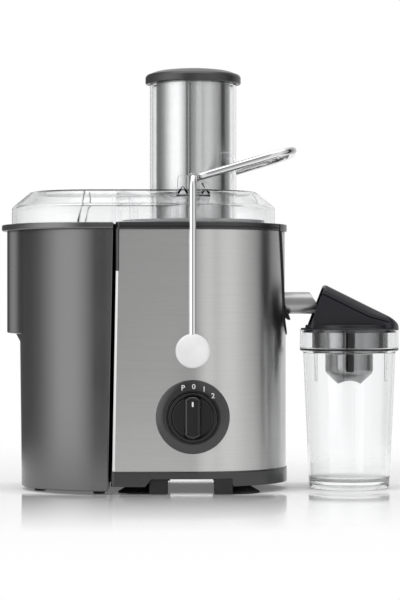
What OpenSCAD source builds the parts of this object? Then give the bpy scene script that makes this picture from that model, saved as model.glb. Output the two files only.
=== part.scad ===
// Centrifugal juicer: steel-wrapped motor housing, pulp container, clear lid with feed tube,
// locking bail, and a clear jug under the spout. The origin is on the counter, below the middle
// of the whole machine. +X points to the jug, -Y to the user, +Z up.

/* [Housing] */
// Distance of the drive axis from the origin, towards the pulp container
axis_offset = 6.5; // [6:0.5:7]
// Radius of the round end of the steel wrap, also its half depth
wrap_r = 87; // [86.5:0.5:87.5]
// Distance from the drive axis to the flat left end of the wrap
wrap_reach = 70.5; // [70:0.5:71]
// Thickness of the steel sheet
sheet_t = 1.2; // [1:0.1:1.4]
// Height of the lower edge of the steel
wrap_bottom = 21; // [20:0.5:22]
// Height of the upper edge of the steel
wrap_top = 240.7; // [240:0.1:241]
// Height of the upper face of the dark rim band
bezel_top = 247; // [246.5:0.1:247]
// Wall of the moulded inner housing
inner_wall = 2.6; // [2.2:0.2:3]
// Radius of the bay that bulges towards the pulp container
bay_r = 81; // [80.5:0.5:81]

/* [Plinth and feet] */
// Height of the lower edge of the plinth
plinth_bottom = 7.6; // [7:0.2:8]
// Height of the roof of the channel between the feet
channel_roof = 14.5; // [14:0.5:15]
// Radius of a suction foot at the counter
foot_r = 21; // [20:0.5:21]
// Distance of the feet in front of and behind the drive axis
foot_y = 52.5; // [51.5:0.5:52.5]

/* [Speed control] */
// Height of the dial above the counter
dial_z = 70.7; // [70:0.1:72]
// Outer radius of the dial ring
dial_r = 33.4; // [33:0.1:34]
// Outer radius of the knob skirt
knob_r = 22.8; // [22:0.2:23]
// Length of the grip bar across the knob
grip_len = 37.6; // [36:0.2:38]
// Width of the grip bar
grip_w = 13.6; // [12:0.2:15]

/* [Locking bail] */
// Diameter of the bail rod
rod_d = 7; // [6.6:0.1:7]
// Height of the bail pivots
pivot_z = 130.5; // [130:0.5:131]
// Distance of the upright legs from the drive axis
leg_y = 94; // [94:0.5:95]
// Height of the rod where it crosses the lid
cross_z = 288; // [288:0.5:289]
// Distance of the lifting arms from the drive axis
arm_y = 48; // [48:0.25:48.5]
// Rise of the lifting arms, in degrees
arm_rise = 16.4; // [15.5:0.1:17]
// Reach of the loop end beyond the drive axis
arm_reach = 92.8; // [92:0.2:94]
// Radius of the round pivot plates
plate_r = 15.5; // [15:0.1:16]

/* [Juice collector and spout] */
// Outer radius of the collector wall
bowl_r = 76.2; // [76:0.1:76.3]
// Height of the spout axis
spout_z = 174; // [173.5:0.5:174.5]
// Outer diameter of the spout
spout_d = 20.5; // [20:0.1:20.6]
// Reach of the spout tip beyond the origin
spout_tip = 110.6; // [110:0.2:111]
// Half width of the slot in the housing at its round lower end
slot_r = 24; // [23:0.5:24]
// Lean of the slot sides, in degrees
slot_lean = 9; // [8:0.5:9]

/* [Filter basket] */
// Radius of the grater disc
grater_r = 45; // [44:0.5:46]
// Height of the upper face of the grater disc
grater_top = 193; // [192.5:0.5:193]
// Inner radius of the sieve at its upper rim
sieve_top_r = 62; // [61:0.5:63]
// Height of the basket rim
basket_top = 251; // [250:0.5:252]
// Rows of teeth on the grater disc
tooth_rows = 18; // [12:1:20]
// Slots around the sieve
sieve_slots = 24; // [16:4:28]

/* [Motor] */
// Radius of the motor shaft
shaft_r = 4; // [3.5:0.5:4]
// Radius of the armature
armature_r = 22.5; // [22:0.5:23]
// Half width of the stator stack
stator_half = 39; // [38:0.5:39]
// Height of the lower face of the stator stack
stack_bottom = 74; // [73.5:0.5:74.5]
// Height of the stator stack
stack_h = 38; // [37:0.5:38]

/* [Lid and feed tube] */
// Radius of the round ends of the lid skirt
lid_r = 77; // [76.8:0.1:77.2]
// Distance from the drive axis to the left round end's centre
lid_reach = 93.2; // [92:0.2:94]
// Radius of the flat top at the round ends
lid_flat_r = 59; // [58:0.5:60]
// Height where the skirt turns into the bevel
bevel_z = 263; // [262:0.5:264]
// Height of the lid's flat top
lid_top = 277.8; // [277.5:0.1:278]
// Wall of the lid and of the feed tube
clear_wall = 2.4; // [2.2:0.1:2.6]
// Outer radius of the feed tube
tube_r = 40.7; // [40.5:0.1:40.8]
// Height of the upper end of the feed tube
tube_top = 378; // [377:0.5:378]

/* [Pusher] */
// Radius of the steel sleeve
sleeve_r = 35.2; // [35:0.1:35.6]
// Radius of the cap
cap_r = 44.8; // [44:0.1:45.5]
// Height of the cap's highest point
cap_top = 396; // [395:0.5:397]

/* [Pulp container] */
// Radius of the container wall at the top
bin_r = 86; // [85.5:0.5:86]
// Width that the rim lip adds
lip = 4; // [3.5:0.5:4]
// Height of the underside of the grip bulge
grip_z = 138; // [136:1:142]
// Wall of the container
bin_wall = 2.5; // [2.2:0.1:2.8]

/* [Jug] */
// Distance of the jug's axis from the origin
jug_x = 140.2; // [140:0.1:140.6]
// Radius of the jug's rim band
jug_rim_r = 46.4; // [46:0.1:46.6]
// Height of the jug's rim
jug_top = 149; // [148.5:0.5:149.5]
// Wall of the jug
jug_wall = 2.2; // [2:0.1:2.4]

/* [Jug hood and froth separator] */
// Height of the hood's peak over the spout
hood_peak = 190.4; // [190:0.2:192]
// Height of the slope at its lower end
hood_low = 160.8; // [160:0.2:161.2]
// Half depth of the hood between its flat sides
hood_half = 28; // [27:0.5:29]
// Radius of the separator collar
collar_r = 36.7; // [36:0.1:37]

/* [Hidden] */

$fn = 96;
far = 400;

axis_x = -axis_offset;
wrap_left = axis_x - wrap_reach;
steel = "silver";
dark = "#3b3c3f";
black = "#1c1c1e";
clear = "#dfe6ea80";

// ---- shared outlines -------------------------------------------------------------------

// Move to the drive axis
module on_axis(z = 0) {
    translate([axis_x, 0, z]) children();
}

// Both sides of the machine, front and rear
module front_and_rear() {
    children();
    mirror([0, 1, 0]) children();
}

// Plan of the housing: a round right end, flat front and rear, and small round corners at the left
module housing_plan(inset = 0) {
    corner = 4 - min(inset, 3.5);
    half = wrap_r - inset;
    left = wrap_left + inset;
    intersection() {
        translate([axis_x, 0]) circle(half);
        translate([axis_x, -half]) square(2 * half);
    }
    translate([left + corner, -half]) square([axis_x - left - corner, 2 * half]);
    translate([left, corner - half]) square([corner + 1, 2 * (half - corner)]);
    for (side = [-1, 1])
        translate([left + corner, side * (half - corner)]) circle(corner);
}

// The round bay on the left, which follows the collector
module bay_plan(r) {
    translate([axis_x, 0]) circle(r);
}

// Slot for the spout seen along X: a round lower end with sides that lean outwards, open at the top
module slot_outline(grow, top) {
    r = slot_r + grow;
    tangent_z = slot_floor + r * sin(slot_lean);
    tangent_y = r * cos(slot_lean);
    top_y = tangent_y + (top - tangent_z) * tan(slot_lean);
    translate([0, slot_floor]) circle(r);
    polygon([[-tangent_y, tangent_z], [tangent_y, tangent_z], [top_y, top], [-top_y, top]]);
}
slot_floor = 168;
slot_depth = 120;

// The slot as a tool that reaches through the right-hand wall
module slot_tool(grow = 0, top = 260) {
    translate([20, 0, 0]) rotate([90, 0, 90]) linear_extrude(slot_depth) slot_outline(grow, top);
}

// Round shell about the drive axis
module axis_ring(outer, inner, bottom, top) {
    on_axis(bottom) difference() {
        cylinder(r = outer, h = top - bottom);
        translate([0, 0, -1]) cylinder(r = inner, h = top - bottom + 2);
    }
}

// A solid with a round left end, a round right end and straight sides, from one half profile
// of [radius, height] points that starts and ends on the axis
module long_round(profile, left, right) {
    translate([left, 0, 0]) rotate_extrude() polygon(profile);
    translate([right, 0, 0]) rotate_extrude() polygon(profile);
    mirrored = [for (i = [len(profile) - 1:-1:0]) [-profile[i][0], profile[i][1]]];
    translate([left, 0, 0]) rotate([90, 0, 90]) linear_extrude(right - left)
        polygon(concat(profile, mirrored));
}

// ---- housing ---------------------------------------------------------------------------

return_len = 12;
module steel_wrap() {
    color(steel) difference() {
        translate([0, 0, wrap_bottom]) linear_extrude(wrap_top - wrap_bottom) difference() {
            housing_plan();
            housing_plan(sheet_t);
            translate([wrap_left - 1, -wrap_r + return_len]) square([8, 2 * (wrap_r - return_len)]);
        }
        slot_tool();
        dial_hole();
        pin_holes();
        inlet_hole();
    }
}

dial_hole_r = 12;
module dial_hole() {
    translate([axis_x, -wrap_r + 12, dial_z]) rotate([90, 0, 0]) cylinder(r = dial_hole_r, h = 14);
}

pin_r = 5;
module pin_holes() {
    front_and_rear() translate([axis_x, -wrap_r + 12, pivot_z]) rotate([90, 0, 0])
        cylinder(r = pin_r, h = 14);
}

inlet_x = axis_x - 36;
inlet_z = 38;
inlet_r = 7;
module inlet_hole() {
    translate([inlet_x, wrap_r - 12, inlet_z]) rotate([-90, 0, 0]) cylinder(r = inlet_r, h = 14);
}

module inner_housing() {
    color(black) difference() {
        translate([0, 0, wrap_bottom]) linear_extrude(wrap_top - wrap_bottom) difference() {
            union() {
                housing_plan(sheet_t);
                bay_plan(bay_r);
            }
            housing_plan(sheet_t + inner_wall);
            bay_plan(bay_r - inner_wall);
        }
        slot_tool();
        dial_hole();
        pin_holes();
        inlet_hole();
        wrap_returns();
    }
}

// Room for the folded edges of the steel sheet
module wrap_returns() {
    translate([wrap_left - 1, -wrap_r - 1, wrap_bottom - 1])
        cube([sheet_t + 1.1, return_len + 1, far]);
    translate([wrap_left - 1, wrap_r - return_len, wrap_bottom - 1])
        cube([sheet_t + 1.1, return_len + 1, far]);
}

flange_r = 79;
ledge_z = 244.2;
tab_drop = 38;
module top_bezel() {
    color(dark) difference() {
        union() {
            translate([0, 0, wrap_top]) linear_extrude(bezel_top - wrap_top) {
                housing_plan(-1);
                bay_plan(bay_r + 1.5);
            }
            front_and_rear() translate([wrap_left - 1, -wrap_r - 1, wrap_top - tab_drop])
                cube([5, 1, tab_drop + 1]);
        }
        on_axis(ledge_z) cylinder(r = flange_r + 0.3, h = 10);
        on_axis(wrap_top - 1) cylinder(r = bowl_r + 0.4, h = 10);
        slot_tool();
    }
}

trim_w = 3.4;
module slot_trim() {
    color(black) {
        intersection() {
            translate([20, 0, 0]) rotate([90, 0, 90]) linear_extrude(slot_depth) difference() {
                slot_outline(0, far);
                slot_outline(-trim_w, far + 1);
            }
            axis_ring(wrap_r + 1.2, wrap_r - sheet_t - inner_wall, 120, wrap_top);
        }
        drip_lip();
    }
}

// Lip on the panel that leans out below the spout and keeps drips off the housing
lip_half = 15;
module drip_lip() {
    face_x = axis_x + wrap_r - 1;
    difference() {
        translate([0, lip_half, 0]) rotate([90, 0, 0]) linear_extrude(2 * lip_half) polygon([
            [face_x - 5, spout_z - 2], [face_x + 1, spout_z - 2], [face_x + 5.6, spout_z - 15.4],
            [face_x + 4.8, spout_z - 16.2], [face_x - 5, spout_z - 11]
        ]);
        on_axis(120) cylinder(r = wrap_r - 1, h = 80);
        translate([axis_x + 60, 0, spout_z]) rotate([0, 90, 0]) cylinder(d = spout_d + 0.6, h = 40);
    }
}

panel_gap = 0.3;
module slot_panel() {
    color("#b9babb") difference() {
        union() {
            intersection() {
                slot_tool(-trim_w - panel_gap, bezel_top);
                axis_ring(wrap_r - 1, wrap_r - 3.5, 120, bezel_top);
            }
            intersection() {
                slot_tool(-panel_gap, bezel_top);
                axis_ring(wrap_r + 1, flange_r, wrap_top, bezel_top);
            }
        }
        translate([60, 0, spout_z]) rotate([0, 90, 0]) cylinder(d = spout_d, h = 40);
    }
}

channel_left = -46;
channel_right = 12.6;
block_w = 17;
module plinth() {
    color(dark) difference() {
        translate([0, 0, plinth_bottom]) linear_extrude(wrap_bottom - plinth_bottom) {
            housing_plan(-1);
            bay_plan(bay_r);
        }
        translate([0, 0, plinth_bottom - 1]) linear_extrude(20) {
            housing_plan(11);
            bay_plan(bay_r - 8);
        }
        translate([channel_left, -far / 2, 0])
            cube([channel_right + block_w - channel_left, far, channel_roof]);
    }
}

// Blocks at the corners of the channel, which stop the housing from tipping
module foot_blocks() {
    color(black) front_and_rear() for (x = [channel_left, channel_right])
        translate([x, -wrap_r + 2, 1]) cube([block_w, 9, channel_roof - 1]);
}

module foot_places() {
    for (x = [-54, 34]) for (side = [-1, 1])
        translate([x, side * foot_y, 0]) children();
}

// Bottom cover with air slots and sockets for the feet
module base_plate() {
    color(black) difference() {
        translate([0, 0, channel_roof + 0.5]) linear_extrude(3) {
            housing_plan(11.2);
            bay_plan(bay_r - 8.2);
        }
        for (i = [-4:4]) translate([axis_x + i * 8 - 2, -24, 10]) cube([4, 48, 12]);
        foot_places() cylinder(r = 6, h = 30);
    }
}

// Flared cups, hollow below, each with a neck that fills its socket
module suction_feet() {
    color(black) foot_places() difference() {
        rotate_extrude() polygon([
            [0, 0], [foot_r, 0], [foot_r, 1.2], [13, 6], [9, 7.4], [9, 14.9], [6, 14.9],
            [6, 19], [0, 19]
        ]);
        translate([0, 0, -46]) sphere(r = 49);
    }
}

module base_screws() {
    color("gray") for (x = [-40, 26]) for (side = [-1, 1]) translate([x, side * 40, 0]) {
        translate([0, 0, channel_roof - 1.5]) cylinder(d = 7, h = 2);
    }
}

module cord_inlet() {
    color(black) translate([inlet_x, wrap_r, inlet_z]) rotate([-90, 0, 0]) difference() {
        union() {
            translate([0, 0, -7]) cylinder(r = inlet_r, h = 9);
            cylinder(r1 = inlet_r + 3, r2 = inlet_r + 1, h = 5);
        }
        translate([0, 0, -8]) cylinder(r = 3.6, h = 20);
    }
}

// ---- motor and drive -------------------------------------------------------------------

deck_z = 150;
deck_t = 3;
post_at = 34;
bracket_z = 134;
bracket_t = 3.5;
damper_h = 4;

module four_posts() {
    on_axis() for (x = [-post_at, post_at]) for (y = [-post_at, post_at])
        translate([x, y, 0]) children();
}

// Floor of the collector bay, with a dam round the shaft and posts that hold the motor
module motor_deck() {
    color(black) union() {
        difference() {
            union() {
                translate([0, 0, deck_z]) linear_extrude(deck_t)
                    intersection() {
                        housing_plan(sheet_t + inner_wall);
                        union() {
                            bay_plan(bay_r - inner_wall);
                            translate([axis_x, -far / 2]) square(far);
                        }
                    }
                axis_ring(12, 7, deck_z, deck_z + 8);
            }
            on_axis() cylinder(r = 7, h = far);
        }
        four_posts() translate([0, 0, bracket_z + bracket_t + damper_h])
            cylinder(r = 6, h = deck_z - bracket_z - bracket_t - damper_h);
    }
}

module motor_dampers() {
    color("dimgray") four_posts() translate([0, 0, bracket_z + bracket_t])
        cylinder(r = 8, h = damper_h);
}

bearing_r = 11;
bearing_h = 7;
lower_bearing_z = 42;
module bearing_seat(z, height) {
    on_axis(z) cylinder(r = bearing_r, h = height);
}

// Spider over the fan: a bearing boss, a plate, and four legs that stand on the stator
module upper_bracket() {
    color("lightgray") difference() {
        union() {
            on_axis(bracket_z) linear_extrude(bracket_t) {
                circle(20);
                for (turn = [45, 135]) rotate(turn) square([2 * post_at * sqrt(2) + 14, 14], center = true);
            }
            on_axis(bracket_z) cylinder(r = bearing_r + 3, h = bearing_h + 1);
            four_posts() translate([0, 0, stack_bottom + stack_h])
                cylinder(r = 4, h = bracket_z - stack_bottom - stack_h + 0.5);
        }
        bearing_seat(bracket_z + 1, bearing_h + 1);
        on_axis(bracket_z - 1) cylinder(r = shaft_r + 2, h = 20);
    }
}

module lower_bracket() {
    color("lightgray") difference() {
        union() {
            on_axis(lower_bearing_z - 2) linear_extrude(bracket_t) {
                circle(22);
                for (turn = [45, 135]) rotate(turn) square([2 * post_at * sqrt(2) + 12, 12], center = true);
            }
            on_axis(lower_bearing_z - 2) cylinder(r = bearing_r + 3, h = bearing_h + 2);
            four_posts() translate([0, 0, lower_bearing_z - 2])
                cylinder(r = 4, h = stack_bottom - lower_bearing_z + 2);
        }
        bearing_seat(lower_bearing_z, bearing_h + 1);
        on_axis(lower_bearing_z - 5) cylinder(r = shaft_r + 2, h = 20);
    }
}

// Two ball bearings as plain races
module bearings() {
    color("silver") {
        axis_ring(bearing_r, shaft_r + 0.05, lower_bearing_z, lower_bearing_z + bearing_h);
        axis_ring(bearing_r, shaft_r + 0.05, bracket_z + 1, bracket_z + 1 + bearing_h);
    }
}

// Laminated stack with a round bore and two windows for the windings
window_w = 13;
module stator() {
    color("slategray") on_axis(stack_bottom) linear_extrude(stack_h) difference() {
        intersection() {
            square(2 * stator_half, center = true);
            circle(stator_half * 1.28);
        }
        circle(armature_r + 0.8);
        for (side = [-1, 1]) translate([side * (armature_r + 4.5), 0])
            square([window_w, 34], center = true);
    }
}

// A racetrack winding round each pole, front and rear
module field_coils() {
    color("chocolate") on_axis() for (side = [-1, 1]) {
        for (end = [stack_bottom - 7, stack_bottom + stack_h]) translate([0, side * 25, end + 3.5])
            cube([61, 9, 7], center = true);
        for (x = [-1, 1]) translate([x * (armature_r + 5), side * 13, stack_bottom + stack_h / 2])
            cube([6, 6, stack_h + 14], center = true);
        for (x = [-1, 1]) for (end = [stack_bottom - 7, stack_bottom + stack_h])
            translate([x * (armature_r + 5), side * 18, end + 3.5]) cube([6, 10, 7], center = true);
    }
}

commutator_r = 12;
commutator_z = 55;
commutator_h = 12;
brush_z = commutator_z + commutator_h / 2;
module brush_holders() {
    color("goldenrod") on_axis(brush_z) for (side = [-1, 1]) difference() {
        translate([side * 23, 0, 0]) cube([18, 10, 9], center = true);
        translate([side * 21, 0, 0]) cube([18, 6, 5], center = true);
    }
}

module carbon_brushes() {
    color("#303030") on_axis(brush_z) for (side = [-1, 1])
        translate([side * (commutator_r + 0.3 + 8), 0, 0]) cube([16, 6, 5], center = true);
}

module motor_shaft() {
    color("gray") on_axis(lower_bearing_z - 3) cylinder(r = shaft_r, h = 172 - lower_bearing_z + 3);
}

armature_teeth = 12;
module armature() {
    color("slategray") on_axis() difference() {
        union() {
            translate([0, 0, stack_bottom]) cylinder(r = armature_r, h = stack_h);
            translate([0, 0, stack_bottom - 6]) cylinder(r = armature_r - 5, h = stack_h + 12);
        }
        for (i = [0:armature_teeth - 1]) rotate(i * 360 / armature_teeth)
            translate([armature_r - 3, -1.2, stack_bottom - 7]) cube([5, 2.4, stack_h + 14]);
        translate([0, 0, stack_bottom - 8]) cylinder(r = shaft_r, h = stack_h + 16);
    }
}

module commutator() {
    color("peru") on_axis(commutator_z) difference() {
        cylinder(r = commutator_r, h = commutator_h);
        translate([0, 0, -1]) cylinder(r = shaft_r, h = commutator_h + 2);
        for (i = [0:11]) rotate(i * 30) translate([commutator_r - 1, -0.4, -1])
            cube([3, 0.8, commutator_h + 2]);
    }
}

fan_r = 36;
fan_z = 120;
fan_blades = 14;
module cooling_fan() {
    color("#2b2b2d") on_axis(fan_z) difference() {
        union() {
            cylinder(r = 9, h = 11);
            cylinder(r = fan_r, h = 1.6);
            for (i = [0:fan_blades - 1]) rotate(i * 360 / fan_blades)
                translate([8, -0.8, 1]) cube([fan_r - 8.5, 1.6, 9]);
        }
        translate([0, 0, -1]) cylinder(r = shaft_r, h = 20);
    }
}

coupling_lobes = 6;
coupling_z = 162;
coupling_h = 18;
// Lobed driver on the end of the shaft
module coupling_plan(grow) {
    circle(10 + grow);
    for (i = [0:coupling_lobes - 1]) rotate(i * 360 / coupling_lobes)
        translate([10, 0]) circle(3 + grow);
}

module drive_coupling() {
    color("#2b2b2d") difference() {
        on_axis(coupling_z) linear_extrude(coupling_h) coupling_plan(0);
        on_axis(coupling_z - 1) cylinder(r = shaft_r, h = 172 - coupling_z + 1);
    }
}

module speed_switch() {
    color("#e8e4d8") translate([axis_x, 0, dial_z]) {
        translate([-14, -wrap_r + 12.5, -14]) cube([28, 18, 28]);
        for (i = [-1:1]) translate([i * 8, -wrap_r + 30, -2]) cube([3, 6, 5]);
    }
}

module dial_ring() {
    color("#2c2d30") translate([axis_x, -wrap_r, dial_z]) rotate([90, 0, 0]) difference() {
        rotate_extrude() polygon([
            [dial_hole_r - 5, -3.8], [dial_hole_r, -3.8], [dial_hole_r, 0], [dial_r, 0], [dial_r, 2],
            [dial_r - 1, 3], [knob_r + 1.5, 3], [knob_r + 1, 1.4], [dial_hole_r - 5, 1.4]
        ]);
    }
}

module knob_spindle() {
    color("gray") translate([axis_x, -wrap_r + 12, dial_z]) rotate([90, 0, 0])
        cylinder(r = 3, h = 16);
}

knob_back = 2.2;
knob_face = 9;
grip_face = 16.5;
// Round skirt, sunken face and a grip bar with round ends and a pointer slot
module speed_knob() {
    bar_h = grip_face - knob_back;
    color(black) translate([axis_x, -wrap_r, dial_z]) rotate([90, 0, 0]) difference() {
        union() {
            rotate_extrude() polygon([
                [0, knob_back], [knob_r - 0.4, knob_back], [knob_r, knob_back + 1], [knob_r - 1, knob_face],
                [knob_r - 3, knob_face], [knob_r - 4, knob_face - 1.5], [0, knob_face - 1.5]
            ]);
            intersection() {
                translate([-grip_w / 2, -grip_len / 2, knob_back]) cube([grip_w, grip_len, bar_h]);
                translate([0, 0, knob_back]) cylinder(r1 = knob_r + 1, r2 = grip_len / 2, h = bar_h);
            }
        }
        translate([0, 0, -1]) cylinder(r = 3, h = 3 + knob_back + 2);
        translate([-0.9, grip_len / 2 - 9.5, grip_face - 1]) cube([1.8, 7.5, 2]);
    }
}

// ---- juice collector -------------------------------------------------------------------

dam_r = 17.5;
module collector_profile() {
    inside = bowl_r - 2.4;
    polygon([
        [dam_r, 183], [dam_r + 2, 183], [dam_r + 2.4, 177], [24, 173], [56, 168], [inside - 3, 165],
        [inside, 168], [inside, bezel_top], [flange_r, bezel_top], [flange_r, ledge_z],
        [bowl_r, ledge_z], [bowl_r, 167], [bowl_r - 5, 162], [54, 165], [24, 170], [dam_r, 174]
    ]);
}

module juice_collector() {
    color("#c9cccf") difference() {
        on_axis() rotate_extrude() collector_profile();
        translate([axis_x + 60, 0, spout_z]) rotate([0, 90, 0]) cylinder(d = spout_d, h = 30);
    }
}

// Steel tube with a slanted end that pours into the jug
module spout() {
    color(steel) difference() {
        translate([axis_x + bowl_r - 3.6, 0, spout_z]) rotate([0, 90, 0])
            cylinder(d = spout_d, h = spout_tip - axis_x - bowl_r + 3.6);
        translate([axis_x + 60, 0, spout_z]) rotate([0, 90, 0]) cylinder(d = spout_d - 2.4, h = 90);
        translate([spout_tip - 8, -20, spout_z + spout_d / 2]) rotate([0, 58, 0]) cube([30, 40, 30]);
    }
}

module hub_seal() {
    color("#a6332e") axis_ring(dam_r, 14.6, 153.5, 156);
}

// ---- filter basket ---------------------------------------------------------------------

basket_floor = 189.5;
socket_r = 16.6;
// Moulded carrier: a lobed socket over the driver, a floor, ribs along the sieve and a rim
module basket_frame() {
    color("#d9dbdc") union() {
        difference() {
            union() {
                axis_ring(socket_r, 0, coupling_z + 6, basket_floor);
                axis_ring(grater_r + 2, 0, basket_floor - 2.5, basket_floor);
            }
            on_axis(coupling_z - 1) linear_extrude(coupling_h + 1.2) coupling_plan(0.12);
        }
        on_axis() rotate_extrude() polygon([
            [grater_r, basket_floor - 2.5], [grater_r + 4, basket_floor - 2.5],
            [grater_r + 4.6, grater_top + 3], [grater_r + 1.6, grater_top + 3],
            [grater_r + 0.2, basket_floor]
        ]);
        on_axis() rotate_extrude() polygon([
            [sieve_top_r, basket_top - 6], [sieve_top_r + 2.2, basket_top - 6],
            [sieve_top_r + 5, basket_top - 2.5], [sieve_top_r + 5, basket_top], [sieve_top_r, basket_top]
        ]);
        on_axis() for (i = [0:7]) rotate(i * 45) basket_rib();
    }
}

module basket_rib() {
    rotate([90, 0, 0]) translate([0, 0, -1]) linear_extrude(2) polygon([
        [grater_r + 2.8, grater_top + 3], [grater_r + 3, basket_floor - 1],
        [grater_r + 5, basket_floor - 1],
        [sieve_top_r + 3.4, basket_top - 4], [sieve_top_r + 0.8, basket_top - 6]
    ]);
}

// Conical sieve wall with three rows of slots
sieve_t = 0.8;
sieve_bottom = grater_top + 3;
module sieve() {
    low_r = grater_r + 2;
    high_r = sieve_top_r;
    tall = basket_top - 6 - sieve_bottom;
    lean = atan((high_r - low_r) / tall);
    color("#b4b7ba") on_axis() difference() {
        rotate_extrude() polygon([
            [low_r, sieve_bottom], [low_r + sieve_t, sieve_bottom],
            [high_r + sieve_t, sieve_bottom + tall], [high_r, sieve_bottom + tall]
        ]);
        for (row = [0:2]) for (i = [0:sieve_slots - 1])
            rotate((i + 0.5) * 360 / sieve_slots) translate([low_r, 0, sieve_bottom])
                rotate([0, lean, 0]) translate([-3, -0.9, 10 + row * 14]) cube([6, 1.8, 9]);
    }
}

// Disc with radial rows of raised cutting teeth, each a wedge leaning into the turn
tooth_h = 1.8;
module grater_disc() {
    color("silver") on_axis() {
        translate([0, 0, basket_floor]) cylinder(r = grater_r, h = grater_top - basket_floor);
        for (row = [0:tooth_rows - 1]) for (step = [0:2])
            rotate(row * 360 / tooth_rows + step * 5) translate([14 + step * 11, 0, grater_top])
                grater_tooth();
    }
}

module grater_tooth() {
    rotate([90, 0, 90]) translate([0, 0, -1.5]) linear_extrude(3)
        polygon([[-1.6, -0.5], [1.6, -0.5], [1.2, tooth_h]]);
}

// ---- lid and feed tube -----------------------------------------------------------------

lid_left = axis_x - lid_reach;
module lid_body(inset, bottom) {
    top = lid_top - inset;
    long_round([
        [0, bottom], [lid_r - inset, bottom], [lid_r - inset, bevel_z - inset * 0.4],
        [lid_flat_r - inset * 0.4, top], [0, top]
    ], lid_left, axis_x);
}

// Saddle under the crossing rod: a stop on the left, a low ramp on the right
saddle_y = 62;
saddle_len = 13;
module saddle() {
    difference() {
        union() {
            intersection() {
                translate([axis_x - 15, -saddle_y - saddle_len, bevel_z])
                    cube([32, saddle_len, 40]);
                translate([axis_x, 0, pivot_z]) rotate([90, 0, 0])
                    cylinder(r = cross_z - pivot_z - rod_d / 2 - 0.4, h = 200, center = true);
            }
            translate([axis_x - 15, -saddle_y, lid_top - 3]) rotate([90, 0, 0]) {
                translate([0, 0, 4]) cube([10.6, 10, saddle_len - 4]);
                translate([5.3, 9.6, 4]) cylinder(r = 5.3, h = saddle_len - 4);
            }
        }
        lid_cavity();
    }
}

module lid_cavity() {
    lid_body(clear_wall, bezel_top - 1);
}

// Guide ribs inside the lid where the pulp drops, a ring over the basket rim, and the arched press
// tabs
locating_r = 72;
rib_x = -111;
rib_y = 54;
tab_x = -70;
tab_w = 20;
module lid() {
    color(clear) difference() {
        union() {
            difference() {
                lid_body(0, bezel_top);
                lid_cavity();
            }
            intersection() {
                lid_body(1, bezel_top + 0.2);
                front_and_rear() translate([rib_x, rib_y, bezel_top + 0.2]) rotate([0, 12, 0])
                    cube([2, far, 40]);
            }
            intersection() {
                lid_body(1, bezel_top + 0.2);
                axis_ring(locating_r, locating_r - 1.8, bevel_z - 0.4, lid_top);
            }
            front_and_rear() {
                saddle();
                press_tab();
            }
        }
        on_axis(200) cylinder(r = tube_r, h = 100);
    }
}

module press_tab() {
    difference() {
        translate([tab_x, -lid_r - 2, bezel_top]) rotate([90, 0, 0]) translate([0, 0, -6])
            linear_extrude(6) difference() {
                tab_arch(0);
                tab_arch(4);
            }
        lid_cavity();
    }
}

module tab_arch(inset) {
    half = tab_w / 2 - inset;
    translate([-half, 0]) square([2 * half, 18]);
    translate([0, 18]) circle(half);
}

tube_bottom = 203;
module feed_tube() {
    color(clear) axis_ring(tube_r, tube_r - clear_wall, tube_bottom, tube_top);
}

// ---- locking bail ----------------------------------------------------------------------

leg_bend = 12;
arm_bend = 14;
loop_bend = 24;
rod_r = rod_d / 2;

module rod(length) {
    cylinder(r = rod_r, h = length);
}

// Quarter bend from +X to +Y about the local origin
module quarter_bend(bend) {
    rotate_extrude(angle = 90) translate([bend, 0]) circle(rod_r);
}

// One side of the bail from its pivot to the middle of the loop, each stretch meeting the next
// face to face; a collar a hair wider than the rod covers the kink where the arm starts to rise
collar_half = 0.8;
module bail_side() {
    arm_len = arm_reach / cos(arm_rise);
    translate([0, -leg_y, pivot_z]) rod(cross_z - pivot_z - leg_bend);
    translate([0, -leg_y + leg_bend, cross_z - leg_bend]) rotate([90, 0, -90]) quarter_bend(leg_bend);
    translate([0, -leg_y + leg_bend, cross_z]) rotate([-90, 0, 0])
        rod(leg_y - leg_bend - arm_y - arm_bend);
    translate([0, -arm_y - arm_bend - collar_half, cross_z]) rotate([-90, 0, 0])
        cylinder(r = rod_r + 0.1, h = 2 * collar_half);
    translate([0, 0, cross_z]) rotate([0, -arm_rise, 0]) {
        translate([arm_bend, -arm_y - arm_bend, 0]) rotate(90) quarter_bend(arm_bend);
        translate([arm_bend, -arm_y, 0]) rotate([0, 90, 0]) rod(arm_len - arm_bend - loop_bend);
        translate([arm_len - loop_bend, -arm_y + loop_bend, 0]) rotate(-90) quarter_bend(loop_bend);
        translate([arm_len, -arm_y + loop_bend, 0]) rotate([-90, 0, 0]) rod(arm_y - loop_bend);
    }
}

module bail_rod() {
    color(steel) difference() {
        translate([axis_x, 0, 0]) front_and_rear() bail_side();
        front_and_rear() plate_body();
    }
}

plate_t = 10.5;
plate_gap = 1.5;
module plate_body() {
    translate([axis_x, -wrap_r - plate_gap, pivot_z]) rotate([90, 0, 0]) rotate_extrude() polygon([
        [0, 0], [plate_r - 1, 0], [plate_r, 1], [plate_r, plate_t - 2.5], [plate_r - 2, plate_t - 0.7],
        [plate_r - 5, plate_t], [0, plate_t]
    ]);
}

// Round plates on the ends of the rod, each with a blind bore that runs on its pin
running_gap = 0.06;
module pivot_plates() {
    color("#e9e9ea") front_and_rear() difference() {
        plate_body();
        translate([axis_x, -wrap_r, pivot_z]) rotate([90, 0, 0])
            cylinder(r = pin_r + running_gap, h = plate_gap + plate_t - 2);
    }
}

module pivot_pins() {
    color("gray") front_and_rear() translate([axis_x, -wrap_r, pivot_z]) rotate([90, 0, 0]) {
        translate([0, 0, -9]) cylinder(r = pin_r, h = 9 + plate_gap + plate_t - 2.5);
        translate([0, 0, -9]) cylinder(r = pin_r + 3, h = 9 - sheet_t - inner_wall - 0.5);
    }
}

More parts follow.
